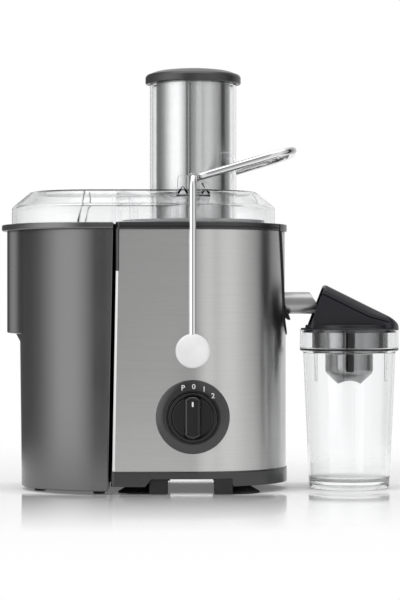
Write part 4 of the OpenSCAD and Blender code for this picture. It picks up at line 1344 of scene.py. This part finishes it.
@dataclass
class ClearLid:
    """Clear lid over the basket and the pulp chute, with the feed tube that rises from it."""

    left: float = -99.7
    radius: float = 77.0
    flat_radius: float = 59.0
    foot: float = 247.15
    bevel: float = 263.0
    top: float = 277.8
    wall: float = 2.4
    rib_radii: tuple[float, float] = (72.0, 70.2)
    rib_depth: float = 7.0
    rib_low: float = 262.7
    tab_x: float = -70.0
    tab_rise: float = 18.0
    tube_radius: float = 40.7
    tube_low: float = 203.0
    tube_top: float = 378.0

    def make(self) -> None:
        """Builds the lid with its fittings, and the tube."""
        fittings = [self.fitting(side) for side in (-1, 1)]
        parts = [self.cover(), *sum(fittings, []), self.inner_rib()]
        Piece("clear_lid", "base", CLEAR, parts, ("lid",)).make()
        r, w, low, high = self.tube_radius, self.wall, self.tube_low, self.tube_top
        ring = soften([(r - w, low), (r, low), (r, high), (r - w, high)], 0.7, closed=True)
        tube_wall = revolve(ring, ON_AXIS, 160, closed=True)
        Piece("clear_feed_tube", "base", CLEAR, [tube_wall], ("feed_tube",)).make()

    def cover(self) -> Shell:
        """Skirt, bevel and top with a round hole.

        The outer and inner walls are strips with round ends, carried round the line between the two
        centres. The top runs from the strip's edge to the hole, at the same angle about the drive axis.

        Returns:
            The surface.
        """
        strip = long_round(self.left, AXIS_X)
        r, flat, w, foot, top = self.radius, self.flat_radius, self.wall, self.foot, self.top
        outer = strip.carry(soften([(r - 1.2, foot), (r, foot), (r, self.bevel), (flat, top),
                                    (flat - 6, top)], [0.5, 2.2, 2.2]))
        inner = strip.carry(soften([(flat - 7, top - w), (flat - 1, top - w), (r - w, self.bevel - 1),
                                    (r - w, foot), (r - 1.2, foot)], [1.5, 1.5, 0.5]))
        hole = self.tube_radius + 0.05
        edge = [self.to_circle(outer[-1], radius, top - drop) for radius, drop in
                ((hole + 1.2, 0), (hole, 0.3), (hole, w - 0.3), (hole + 1.2, w))]
        return Shell(np.concatenate([outer, np.array(edge), inner]), close_rows=True)

    @staticmethod
    def to_circle(row: Points, radius: float, height: float) -> Points:
        """Point of a circle about the drive axis at the same polar angle as each point of a row."""
        axis = np.array([AXIS_X, 0])
        return at_height(axis + radius * unit(row[:, :2] - axis), height)

    def under_side(self, points: Points) -> Points:
        """Height of the lid's underside: flat, then falling along the bevel.

        Args:
            points: plan points.

        Returns:
            The height at each point.
        """
        near_x = np.clip(points[..., 0], self.left, AXIS_X)
        distance = np.hypot(points[..., 0] - near_x, points[..., 1])
        fall = (distance - self.flat_radius + 1) / (self.radius - self.wall - self.flat_radius + 1)
        drop = np.clip(fall, 0, 1) * (self.top - self.wall - self.bevel + 1)
        return self.top - self.wall - drop

    def inner_rib(self) -> Shell:
        """Rib on the underside, along the left of the round basket bay.

        It is an arc about the drive axis; its upper edge follows the underside and its lower edge is
        the rib's depth below it, but never below the skirt's corner.

        Returns:
            The surface.
        """
        angle = np.radians(np.linspace(101, 259, 90))
        ray = np.stack([np.cos(angle), np.sin(angle)], axis=-1)
        outside, inside = (np.array([AXIS_X, 0]) + radius * ray for radius in self.rib_radii)
        high = np.minimum(self.under_side(outside), self.under_side(inside)) - 0.05
        low = np.maximum(high - self.rib_depth, self.rib_low)
        rows = [np.concatenate([plan, z[:, None]], axis=-1)
                for plan, z in ((outside, low), (outside, high), (inside, high), (inside, low))]
        return Shell(pinch_ends(np.array(rows)), close_rows=True, close_columns=False)

    def fitting(self, side: int) -> list[Shell]:
        """Saddle plate with its two lugs, press tab and guide rib of one side.

        Args:
            side: -1 in front, 1 at the rear.

        Returns:
            The surfaces.
        """
        stand = facing_front(0, 0, 0) if side < 0 else facing_rear(0, 0, 0)
        under, over, foot = 270.0, 272.4, 272.5
        plate = soften([(-21.8, under), (9.4, under), (9.4, over), (-21.8, over)], 0.5, closed=True)
        tall = soften([(-20.6, foot), (-10.6, foot), (-10.6, 289.6), (-20.6, 289.6)],
                      [0.3, 0.3, 4.6, 4.6], 8, True)
        low = soften([(0.8, foot), (9.3, foot), (9.3, 282.6), (0.8, 283.6)], [0.3, 0.3, 2.4, 1.2], 6, True)
        parts = [slab(plate, stand, 61.5, 76.0, 0.5), slab(tall, stand, 62.0, 75.0, 0.7),
                 slab(low, stand, 62.0, 75.0, 0.7), self.press_tab(stand)]
        guide = [(-112.5, self.foot + 0.3), (-110.5, self.foot + 0.3), (-104.6, 275.2), (-106.6, 275.2)]
        parts.append(slab(soften(guide, 0.4, closed=True), stand, 54.0, 58.3, 0.4))
        return parts

    def press_tab(self, stand: Stand) -> Shell:
        """Arched bar on the skirt: a flat section carried up, over a half circle and down.

        Args:
            stand: the side's place, facing out.

        Returns:
            The surface.
        """
        hub = np.array([self.tab_x, self.foot + self.tab_rise])
        bow = arc(hub, 1.0, 0, 180, 25) - hub
        rise = np.linspace(0.4, self.tab_rise, 6)[:-1]
        side = np.stack([0 * rise, rise], axis=-1)
        section = soften([(6.2, 77.05), (10, 77.05), (10, 79.2), (6.2, 79.2)], 0.5, closed=True)
        out = np.vstack([np.tile([1.0, 0.0], (len(side), 1)), bow, np.tile([-1.0, 0.0], (len(side), 1))])
        middle = np.vstack([side, np.tile([0.0, self.tab_rise], (len(bow), 1)), side[::-1]])
        flat = (middle + np.array([self.tab_x, self.foot]))[None] + section[:, 0, None, None] * out[None]
        grid = stand.place(add_third(flat, section[:, 1]))
        return Shell(pinch_ends(grid), close_rows=True, close_columns=False)


@dataclass
class Spout:
    """Steel tube from the collector, cut at a slant."""

    height: float = 174.0
    radius: float = 10.25
    wall: float = 1.2
    root: float = 66.1
    tip: float = 110.6
    cut: float = math.radians(58)
    cut_length: float = 8.0

    def make(self) -> None:
        """Builds the tube: circles about its axis that end on a slanting plane.

        At the angle a the tube ends at x = tip - length + (top - z(a)) / tan(cut), but never past the tip.
        """
        angle = np.arange(96) * TAU / 96
        across, rise = np.cos(angle), np.sin(angle)

        def ring(radius: float, share: float) -> Points:
            """Circle at a share of the tube's length.

            Args:
                radius: its radius.
                share: 0 at the root, 1 at the slanting end.

            Returns:
                Its points.
            """
            z = self.height + radius * rise
            slant = (self.height + self.radius - z) / math.tan(self.cut)
            end = np.minimum(self.tip, self.tip - self.cut_length + slant)
            return np.stack([self.root + share * (end - self.root), radius * across, z], axis=-1)

        outer = [ring(self.radius, share) for share in (0, 0.3, 0.7, 0.97, 0.992)]
        lip = [ring(self.radius - 0.25, 1.0), ring(self.radius - self.wall + 0.25, 1.0)]
        inner = [ring(self.radius - self.wall, share) for share in (0.99, 0.7, 0.3, 0)]
        Piece("juice_spout", "base", STEEL_SPOUT, [Shell(np.array(outer + lip + inner), close_rows=True)],
              ("spout",)).make()


# ---- pusher ----------------------------------------------------------------------------


@dataclass
class Pusher:
    """Steel-sleeved pusher with a moulded cap and foot."""

    sleeve: float = 35.2
    cap: float = 44.8
    low: float = 212.0
    cap_low: float = 379.0
    top: float = 396.0

    def make(self) -> None:
        """Builds the sleeve, the cap and the foot."""
        stand, r, c = ON_AXIS, self.sleeve, self.cap
        start, end = self.low + 4, self.cap_low + 3.9
        wall = soften([(r - 0.9, start), (r, start), (r, end), (r - 0.9, end)], 0.2, closed=True)
        Piece("steel_sleeve", "pusher", STEEL_SLEEVE, [revolve(wall, stand, 160, closed=True)],
              ("pusher_sleeve",)).make()
        low, top = self.cap_low, self.top
        crown = soften([(0, low), (c - 0.9, low), (c, low + 1), (c, top - 10.6), (c - 1.4, top - 8.4),
                        (c - 10, top - 5.1), (c - 26, top - 3.0), (0, top - 2.2)],
                       [0.4, 0.5, 1.4, 1.4, 5, 5])
        Piece("pusher_crown", "pusher", CAP_GREY, [revolve(crown, stand, 160)], ("pusher_cap",)).make()
        foot = soften([(0, self.low + 3), (r - 5, self.low + 0.2), (r, self.low), (r, start),
                       (r - 0.9, self.low + 4.1), (r - 0.9, self.low + 14), (0, self.low + 14)],
                      [2, 0.8, 0.3, 0.2, 0.5])
        Piece("pusher_sole", "pusher", CAP_GREY, [revolve(foot, stand, 128)], ("pusher_foot",)).make()


# ---- pulp container --------------------------------------------------------------------


@dataclass
class PulpContainer:
    """Deep container on the left, hollowed to fit round the bay, with a ridge as a handle."""

    centre: float = -83.0
    radius: float = 86.0
    draft: float = 1.7
    face: float = -78.3
    lean: float = 0.0202
    hollow: float = 84.5
    floor: float = 3.0
    step_low: float = 138.0
    step_high: float = 148.0
    top: float = 246.5
    rim: float = 89.95
    rim_centre: float = -96.0
    mouth_centre: float = -99.7
    mouth_radius: float = 75.5
    ledge: tuple[float, float, float] = (145.0, 145.9, 146.6)
    wall: float = 2.5
    grip_reach: float = 12.0
    grip_width: float = 15.0

    def plan(self, centre: float, radius: float, inset: float, height: float) -> Points:
        """Plan at one height: a half circle on the left, straight sides, a face and a hollow.

        Above the step the half circle bulges out to the left into a grip: a point at y across moves out
        by reach / (1 + (y / width)^6), where the reach grows over the step.

        Args:
            centre: x of the half circle's centre.
            radius: its radius.
            inset: how far the face and the hollow are drawn in.
            height: height above the counter; the face leans towards the container lower down.

        Returns:
            Points, anticlockwise from the upper right corner.
        """
        face = self.face - self.lean * (self.top - height) - inset
        hollow = self.hollow + inset
        meet = math.sqrt(hollow**2 - (face - AXIS_X) ** 2)
        reach = math.degrees(math.asin(meet / hollow))
        bow = arc((centre, 0), radius, 90, 270, 181)
        bow[:, 0] -= self.grip(height - 0.8 * inset) / (1 + (bow[:, 1] / self.grip_width) ** 6)
        run = np.linspace(0, 1, 9)[:, None]
        upper = np.array([face - 1.2, radius]) + run * (bow[0] - np.array([face - 1.2, radius]))
        bend = soften([(face, meet), (face, radius), (face - 2, radius)], 1.0, 4)[1:-1]
        scoop = arc((AXIS_X, 0), hollow, 180 + reach, 180 - reach, 41)
        rear = np.vstack([bend, upper[1:]])
        return np.vstack([rear, bow[1:-1], (rear * (1, -1))[::-1], scoop])

    def row(self, centre: float, radius: float, inset: float, height: float) -> Points:
        """Plan at a height, as points in space."""
        return at_height(self.plan(centre, radius, inset, height), height)

    def grip(self, height: float) -> float:
        """How far the grip reaches out at a height: slowly, then at a ledge, and gone again at the rim."""
        share = np.interp(height, (self.step_low, *self.ledge), (0, 0.3, 0.93, 1))
        return self.grip_reach * share * (height < self.top - 6.2)

    def wall_radius(self, height: float) -> float:
        """Radius of the outer wall at a height: it grows slightly from the floor to the step."""
        taper = np.clip((height - self.floor) / (self.step_high - self.floor), 0, 1)
        return self.radius - self.draft * (1 - taper)

    def make(self) -> None:
        """Builds the container as one closed skin, from the inner floor over the rim to the outer floor."""
        floor, top, w = self.floor, self.top, self.wall
        below = (40, 90, 130, 137)
        steps = (self.step_low, 141, 143.5, 145, 145.4, 145.9, 146.2, 146.8, self.step_high)
        outer_heights = (floor + 0.3, floor + 1.2, floor + 3, *below, *steps, 152, 200, 240.2)
        inner_heights = (floor + w, floor + w + 1.5, *below, *(z + 1.5 for z in steps), 154, 200, top - 2.7)
        inner = [self.row(self.centre, self.wall_radius(z - 1.0) - w, w, z) for z in inner_heights]
        mouth = [self.row(self.mouth_centre, self.mouth_radius + flare, w, top - drop)
                 for flare, drop in ((0.0, 2.7), (0.0, 0.4), (0.4, 0.0))]
        lip = [self.row(self.rim_centre, self.rim - narrow, inset, top - drop) for narrow, inset, drop in
               ((1.0, 0.4, 0.0), (0.3, 0.1, 0.3), (0.0, 0.0, 1.0), (0.0, 0.0, 4.2), (0.3, 0.0, 5.0),
                (1.2, 0.0, 5.6), (3.2, 0.0, 5.8))]
        outer = []
        for z in outer_heights[::-1]:
            inset = max(0.0, floor + 1.2 - z)
            outer.append(self.row(self.centre, self.wall_radius(z) - inset, inset, z))
        skin = np.array(inner + mouth + lip + outer)
        inside = gather(skin[0], (-120.0, 0.0, floor + w), (0.0, 0.4, 0.8))
        under = gather(skin[-1], (-120.0, 0.0, floor), (0.97, 0.6, 0.0))
        under[..., 2] = floor
        Piece("pulp_bin", "container", CONTAINER_GREY, [Shell(np.concatenate([inside, skin, under]))],
              ("pulp_container",)).make()
        pad = soften([(0, 0), (5, 0), (6, floor), (0, floor)], [0.6, 0.2])
        pads = [revolve(pad, Stand((x, side * y, 0)), 40)
                for x, y in ((-92, 66), (-148, 30)) for side in (-1, 1)]
        Piece("bin_pads", "container", RUBBER, pads, ("container_feet",)).make()


# ---- jug -------------------------------------------------------------------------------


@dataclass
class JugAssembly:
    """Clear jug, its hood with the open mouth, and the froth separator."""

    floor: float = 7.6
    low_radius: float = 38.3
    high_radius: float = 43.4
    band_low: float = 128.0
    rib_low: float = 101.0
    rim_radius: float = 46.4
    top: float = 149.0
    wall: float = 2.2
    hood_radius: float = 46.4
    hood_half: float = 28.0
    band_radius: float = 42.0
    flange: float = 1.4
    mouth: float = 101.5
    peak: float = 116.6
    peak_z: float = 190.4
    slope_end: float = 177.2
    slope_end_z: float = 160.8
    notch: float = 12.8

    def make(self) -> None:
        """Builds the jug, the hood and the separator."""
        self.jug()
        self.hood()
        self.separator()

    def jug(self) -> None:
        """Body, band and floor of the jug, with two guide ribs inside below the band."""
        low, high, rim, w, t = self.low_radius, self.high_radius, self.rim_radius, self.wall, self.top
        body = soften([(0, 5.0), (32.6, 5.0), (34.2, 0), (36.2, 0), (low - 0.6, 3.0),
                       (high, self.band_low), (rim, self.band_low + 1.5), (rim, t), (rim - w, t),
                       (rim - w, self.band_low + 3.4), (high - w, self.band_low + 1.5),
                       (low - w, self.floor + 3), (low - w - 3, self.floor), (0, self.floor)],
                      [0.8, 0.6, 1.0, 1.6, 1.2, 0.8, 0.7, 0.7, 0.8, 1.2, 1.8, 1.8])
        ribs, corners = [], [(-0.6, 38.6), (0.6, 38.6), (0.6, 41.6), (-0.6, 41.6)]
        for turn in (127, 233):
            along = np.array([math.sin(math.radians(turn)), math.cos(math.radians(turn))])
            plan = np.array([x * along[::-1] * (1, -1) + y * along for x, y in corners])
            ribs.append(slab(plan, ON_JUG, self.rib_low, self.band_low - 1.0, 0.3))
        Piece("clear_jug", "jug", CLEAR, [revolve(body, ON_JUG, 192), *ribs], ("jug",)).make()

    def roof(self, x: Points) -> Points:
        """Height of the hood's ridge line: a level peak, a slope, and a round end at the rim.

        Args:
            x: places along the hood.

        Returns:
            The height at each place.
        """
        end = JUG_X + self.hood_radius
        line = soften([(self.peak - 9, self.peak_z), (self.peak + 1, self.peak_z),
                       (self.slope_end, self.slope_end_z), (end - 3.6, self.slope_end_z - 4.2),
                       (end - 0.7, self.top + 4.5), (end, self.top + 1)], [1.0, 5.0, 2.5, 1.5], 6)
        return np.interp(x, line[:, 0], line[:, 1])

    def hood_arches(self, inset: float, lower: float, recess: float) -> Points:
        """Hood surface as arches from the front edge of the mouth to the right end.

        Arch s stands on x = mouth + s (end - mouth) and leans so that its top is at x = peak + s (end -
        peak). Its half width is that of the flat sides, or of the round rim where that is less. It rises
        along the wall, turns over with a rounded shoulder and crosses level to the other side.

        Args:
            inset: how far the surface is inside the hood's outline.
            lower: how far the top is below the roof line.
            recess: how far the wall is set back below the shoulder, behind a groove.

        Returns:
            Grid of points, one row for each arch.
        """
        radius, base = self.hood_radius - inset, self.top + self.flange - 0.05
        end = JUG_X + radius - 0.02
        s = (1 - np.cos(np.linspace(0, math.pi, 57))) / 2
        foot = self.mouth + s * (end - self.mouth)
        head = self.peak + s * (end - self.peak)
        top = self.roof(head) - lower
        shoulder = np.minimum(8.0, 0.42 * (top - base))
        rise = np.linspace(0, 1, 9)
        turn = np.linspace(0, math.pi / 2, 10)
        crease = (top - shoulder)[:, None]
        wall_z = base + rise[None] * (crease - 0.9 - base)
        z = np.concatenate([wall_z, crease - 0.55, crease + shoulder[:, None] * np.sin(turn)[None]], axis=1)
        x = foot[:, None] + (z - base) / (top - base)[:, None] * (head - foot)[:, None]
        rim = np.sqrt(np.maximum(radius**2 - (x - JUG_X) ** 2, 0))
        side = self.hood_half - inset
        half = (rim**-14.0 + side**-14.0) ** (-1 / 14)
        groove = np.concatenate([np.full(len(rise), recess), [1.9 * recess], np.zeros(len(turn))])
        step = groove[None] * (shoulder / 8)[:, None]
        draw = np.concatenate([np.zeros(len(rise) + 1), 1 - np.cos(turn)])[None] * 1.25 * shoulder[:, None]
        y = np.maximum(half - draw - step, 0)
        cross = np.linspace(1, -1, 15)[None, 1:-1] * y[:, -1:]
        front = np.stack([x, -y, z], axis=-1)
        middle = np.stack([x[:, -1:] + 0 * cross, -cross, z[:, -1:] + 0 * cross], axis=-1)
        rear = np.stack([x, y, z], axis=-1)[:, ::-1]
        return np.concatenate([front, middle, rear], axis=1)

    def band(self) -> Shell:
        """Round band below the hood, with a flange on the jug's rim, open at the spout.

        The profile goes round the jug's axis; its last two points lie on the hood's flat sides, at the
        radius side / |sin a|, held inside the band.

        Returns:
            The surface.
        """
        t, b, hole, edge = self.top, self.band_radius, 37.2, 46.6
        gap = math.asin(self.notch / edge)
        angle = np.linspace(gap - math.pi, math.pi - gap, 170)
        ring = soften([(hole, t + 1.3), (hole, t - 2.9), (43.7, t - 2.9), (43.8, t + 0.05), (edge, t + 0.05),
                       (edge, t + self.flange), (b + 0.3, t + self.flange), (b, t + 4.3), (b - 1.5, t + 4.3)],
                      [0.2, 0.4, 0.2, 0.2, 0.4, 0.3, 0.5])
        inner = np.clip((self.hood_half - 2.0) / np.maximum(np.abs(np.sin(angle)), 0.01), 26.0, b - 1.6)
        r = np.vstack([np.broadcast_to(ring[:, :1], (len(ring), len(angle))), inner, inner])
        z = np.concatenate([ring[:, 1], [t + 4.3, t + 1.3]])[:, None] + 0 * r
        return Shell(np.stack([JUG_X + r * np.cos(angle), r * np.sin(angle), z], axis=-1), close_rows=True,
                     close_columns=False)

    def hood(self) -> None:
        """Hood wall and roof as one shell with thickness, its mouth's edge, and the band below it."""
        outer, inner = self.hood_arches(0.0, 0.0, 0.6), self.hood_arches(2.3, 2.3, 0.0)
        skin = Shell(np.concatenate([outer, inner[:, ::-1]], axis=1))
        middle = (outer[0] + inner[0]) / 2 - (0.4, 0, 0)
        edge = Shell(np.stack([outer[0], middle, inner[0]]), close_columns=False)
        band = self.band()
        parts = [skin, edge, band, *cap_ends(band.points)]
        Piece("jug_cover", "jug_lid", HOOD_BLACK, parts, ("jug_hood",)).make()

    def separator(self) -> None:
        """Bright collar with the cup below it, cut away for the spout and arched at its lower edge.

        The profile goes round the jug's axis. In the notch the radius is held to 28.6 / |cos a| and the
        height to the shelf; the lowest 3 mm are lifted by 3.2 (sin a)^2, highest at the front and rear.
        """
        t, collar, cup = self.top + 0.45, 36.7, 22.6
        profile = soften([(collar, t), (collar, 128), (cup, 127), (cup, 109), (10.8, 98), (9.8, 98.8),
                          (21.5, 109.6), (21.5, 128.2), (35.6, 129.2), (35.6, t)],
                         [1.2, 2.0, 3.0, 0.1, 0.3, 3.0, 1.6, 1.0])
        gap = math.asin(12.7 / collar)
        side = np.linspace(-math.pi + gap, math.pi - gap, 150)
        notch = np.linspace(math.pi - gap + 1e-4, math.pi + gap - 1e-4, 17)
        angle = np.concatenate([side, notch])
        r = np.broadcast_to(profile[:, :1], (len(profile), len(angle))).copy()
        z = np.broadcast_to(profile[:, 1:], r.shape).copy()
        in_notch = (np.arange(len(angle)) >= len(side))[None] & (r > 24)
        limit = 28.6 / np.maximum(np.abs(np.cos(angle)), 0.2)
        shelf = np.where(np.arange(len(profile))[:, None] < len(profile) // 2, 127.45, 128.65)
        r = np.where(in_notch, np.minimum(r, limit[None]), r)
        z = np.where(in_notch & (z > 128.0), shelf, z)
        low = np.clip((101 - z) / 3, 0, 1)
        z = z + low * 3.2 * np.abs(np.sin(angle))[None] ** 2
        grid = np.stack([JUG_X + r * np.cos(angle), r * np.sin(angle), z], axis=-1)
        Piece("froth_cup", "jug_lid", CUP_CHROME, [Shell(grid, close_rows=True)], ("froth_separator",)).make()


# ---- studio ----------------------------------------------------------------------------


@dataclass
class Studio:
    """Floor, light and camera."""

    camera_place: tuple[float, float, float] = (0.0, -2.162, 0.1673)
    lens: float = 138.0
    shift: float = 10 / 600
    reflection_reach: float = 0.43
    floor_half: float = 12000.0
    sky: tuple[tuple[float, float], ...] = (
        (-180, 1.0), (-171, 0.9), (-162, 0.14), (-120, 0.2), (-100, 0.4), (-84, 0.9), (-66, 1.55),
        (-44, 1.6), (-36, 1.3), (-27, 0.85), (-21, 0.55), (-19.5, 0.05), (-15.5, 0.05), (-14.5, 0.7),
        (-12, 0.7), (-11, 0.08), (-7.5, 0.08), (-6, 0.38), (2, 0.44), (7, 0.56), (12, 0.8), (22, 0.88),
        (29, 0.66), (37, 0.86), (50, 0.9), (70, 0.6), (83, 0.45), (92, 0.28), (95, 0.03), (108, 0.03),
        (113, 0.3), (180, 0.9))

    def make(self) -> None:
        """Sets up everything round the object."""
        bpy.context.scene.view_settings.view_transform = "Standard"
        self.world()
        self.floor()
        self.lamp()
        self.flags()
        self.camera()

    def world(self) -> None:
        """Soft studio walls all round: a brightness for each compass direction, paler overhead.

        The direction is turned into an angle round the object and looked up in a ramp; the camera sees
        plain white, and so does a ray that passes through clear plastic to the back.
        """
        world = bpy.data.worlds.new("studio")
        bpy.context.scene.world = world
        shop = Shop(world)
        x, y, z = shop.axes(shop.node("ShaderNodeTexCoord", output="Generated"))
        turn = x.math("ARCTAN2", x, y * -1.0) / TAU + 0.5
        stops = [((angle + 180) / 360, (value / 2,) * 3) for angle, value in self.sky]
        sides = shop.node("ShaderNodeValToRGB", {"stops": stops}, {"Fac": turn}) * 2.0
        overhead = z.between(0.6, 0.95)
        value = sides * (1.0 - overhead) + overhead
        through = shop.ray("Is Transmission Ray") * y.between(0.75, 0.9)
        seen = x.math("MAXIMUM", shop.ray("Is Camera Ray"), through)
        strength = value * (1.0 - seen) + seen
        shop.output(shop.node("ShaderNodeBackground", None, {"Color": (1.0, 1.0, 1.0), "Strength": strength}),
                    "ShaderNodeOutputWorld")

    def floor(self) -> None:
        """Pale floor that keeps the shadow and, close to the object and at a low angle, a fading reflection.

        In reflections it ends a little way from the object, so that metal shows the studio walls below
        it too.
        """
        shop = Shop(bpy.data.materials.new("studio_floor"))
        x, y, _ = shop.axes(shop.node("ShaderNodeTexCoord", output="Object"))
        aside = x.math("MAXIMUM", x.math("ABSOLUTE", x) - 0.15, 0.0)
        distance = x.math("SQRT", aside * aside + y * y)
        near = x.math("MAXIMUM", 1.0 - distance / self.reflection_reach, 0.0) * distance.between(0.05, 0.1)
        grazing = shop.node("ShaderNodeLayerWeight", None, {"Blend": 0.5}, output="Facing")
        mirror = near * grazing**3.0 * 1.2
        white = shop.node("ShaderNodeEmission", None, {"Color": (1.0, 1.0, 1.0), "Strength": 1.0})
        paint = shop.node("ShaderNodeBsdfDiffuse", None, {"Color": (0.9, 0.9, 0.9)})
        polish = shop.node("ShaderNodeBsdfGlossy", None, {"Color": (0.95, 0.95, 0.95), "Roughness": 0.06})
        glow = shop.node("ShaderNodeEmission", None, {"Color": (1.0, 1.0, 1.0), "Strength": 0.14})
        lit = shop.node("ShaderNodeAddShader", None, {0: paint, 1: glow})
        seen = shop.ray("Is Camera Ray")
        beyond = distance.between(0.3, 0.75) * seen
        base = shop.node("ShaderNodeMixShader", None, {0: beyond, 1: lit, 2: white})
        shown = shop.node("ShaderNodeMixShader", None, {0: mirror * seen, 1: base, 2: polish})
        open_air = shop.node("ShaderNodeBsdfTransparent")
        far = shop.ray("Is Glossy Ray") * distance.between(0.22, 0.6)
        shop.output(shop.node("ShaderNodeMixShader", None, {0: far, 1: shown, 2: open_air}))
        corners = self.floor_half * np.array([(-1, -1, 0), (1, -1, 0), (1, 1, 0), (-1, 1, 0)])
        mesh = flat_mesh("studio_floor", corners, [(0, 1, 2, 3)], shop.owner)
        add_object("studio_floor", mesh)

    @staticmethod
    def lamp() -> None:
        """One wide soft lamp overhead."""
        data = bpy.data.lights.new("overhead", "AREA")
        data.shape, data.size, data.size_y, data.energy = "RECTANGLE", 1.6, 1.2, 6.0
        add_object("overhead", data).location = (0.0, -0.2, 1.7)

    @staticmethod
    def flags() -> None:
        """Two small black flags, seen only in reflections: a dark line down the bright separator."""
        shop = Shop(bpy.data.materials.new("studio_flag"))
        shop.output(shop.node("ShaderNodeBsdfDiffuse", None, {"Color": (0.0, 0.0, 0.0)}))
        for name, middle, half, y, low, high in (("upper", -1.2, 5.6, -42.6, 129.0, 150.0),
                                                 ("lower", -0.4, 9.5, -38.0, 94.0, 128.0)):
            left, right = JUG_X + middle - half, JUG_X + middle + half
            corners = [(left, y, low), (right, y, low), (right, y, high), (left, y, high)]
            flag = add_object(f"flag_{name}", flat_mesh(f"flag_{name}", corners, [(0, 1, 2, 3)], shop.owner))
            for ray in ("camera", "transmission", "diffuse", "shadow"):
                setattr(flag, f"visible_{ray}", False)

    def camera(self) -> None:
        """Level camera in front of the object."""
        data = bpy.data.cameras.new("camera")
        data.sensor_fit, data.sensor_height, data.lens, data.shift_y = "VERTICAL", 36.0, self.lens, self.shift
        camera = add_object("camera", data)
        camera.location, camera.rotation_euler = self.camera_place, (math.pi / 2, 0, 0)
        bpy.context.scene.camera = camera


def main() -> None:
    """Builds the studio, dresses the frame and adds the modelled pieces."""
    logging.basicConfig(level=logging.INFO, format="%(name)s: %(message)s")
    Studio().make()
    dress_nodes(NODE_FINISHES)
    for assembly in (Housing(), SpeedControl(), LockingBail(), ClearLid(), Spout(), Pusher(), PulpContainer(),
                     JugAssembly()):
        LOG.info("building %s", type(assembly).__name__)
        assembly.make()


if __name__ == "__main__":
    main()
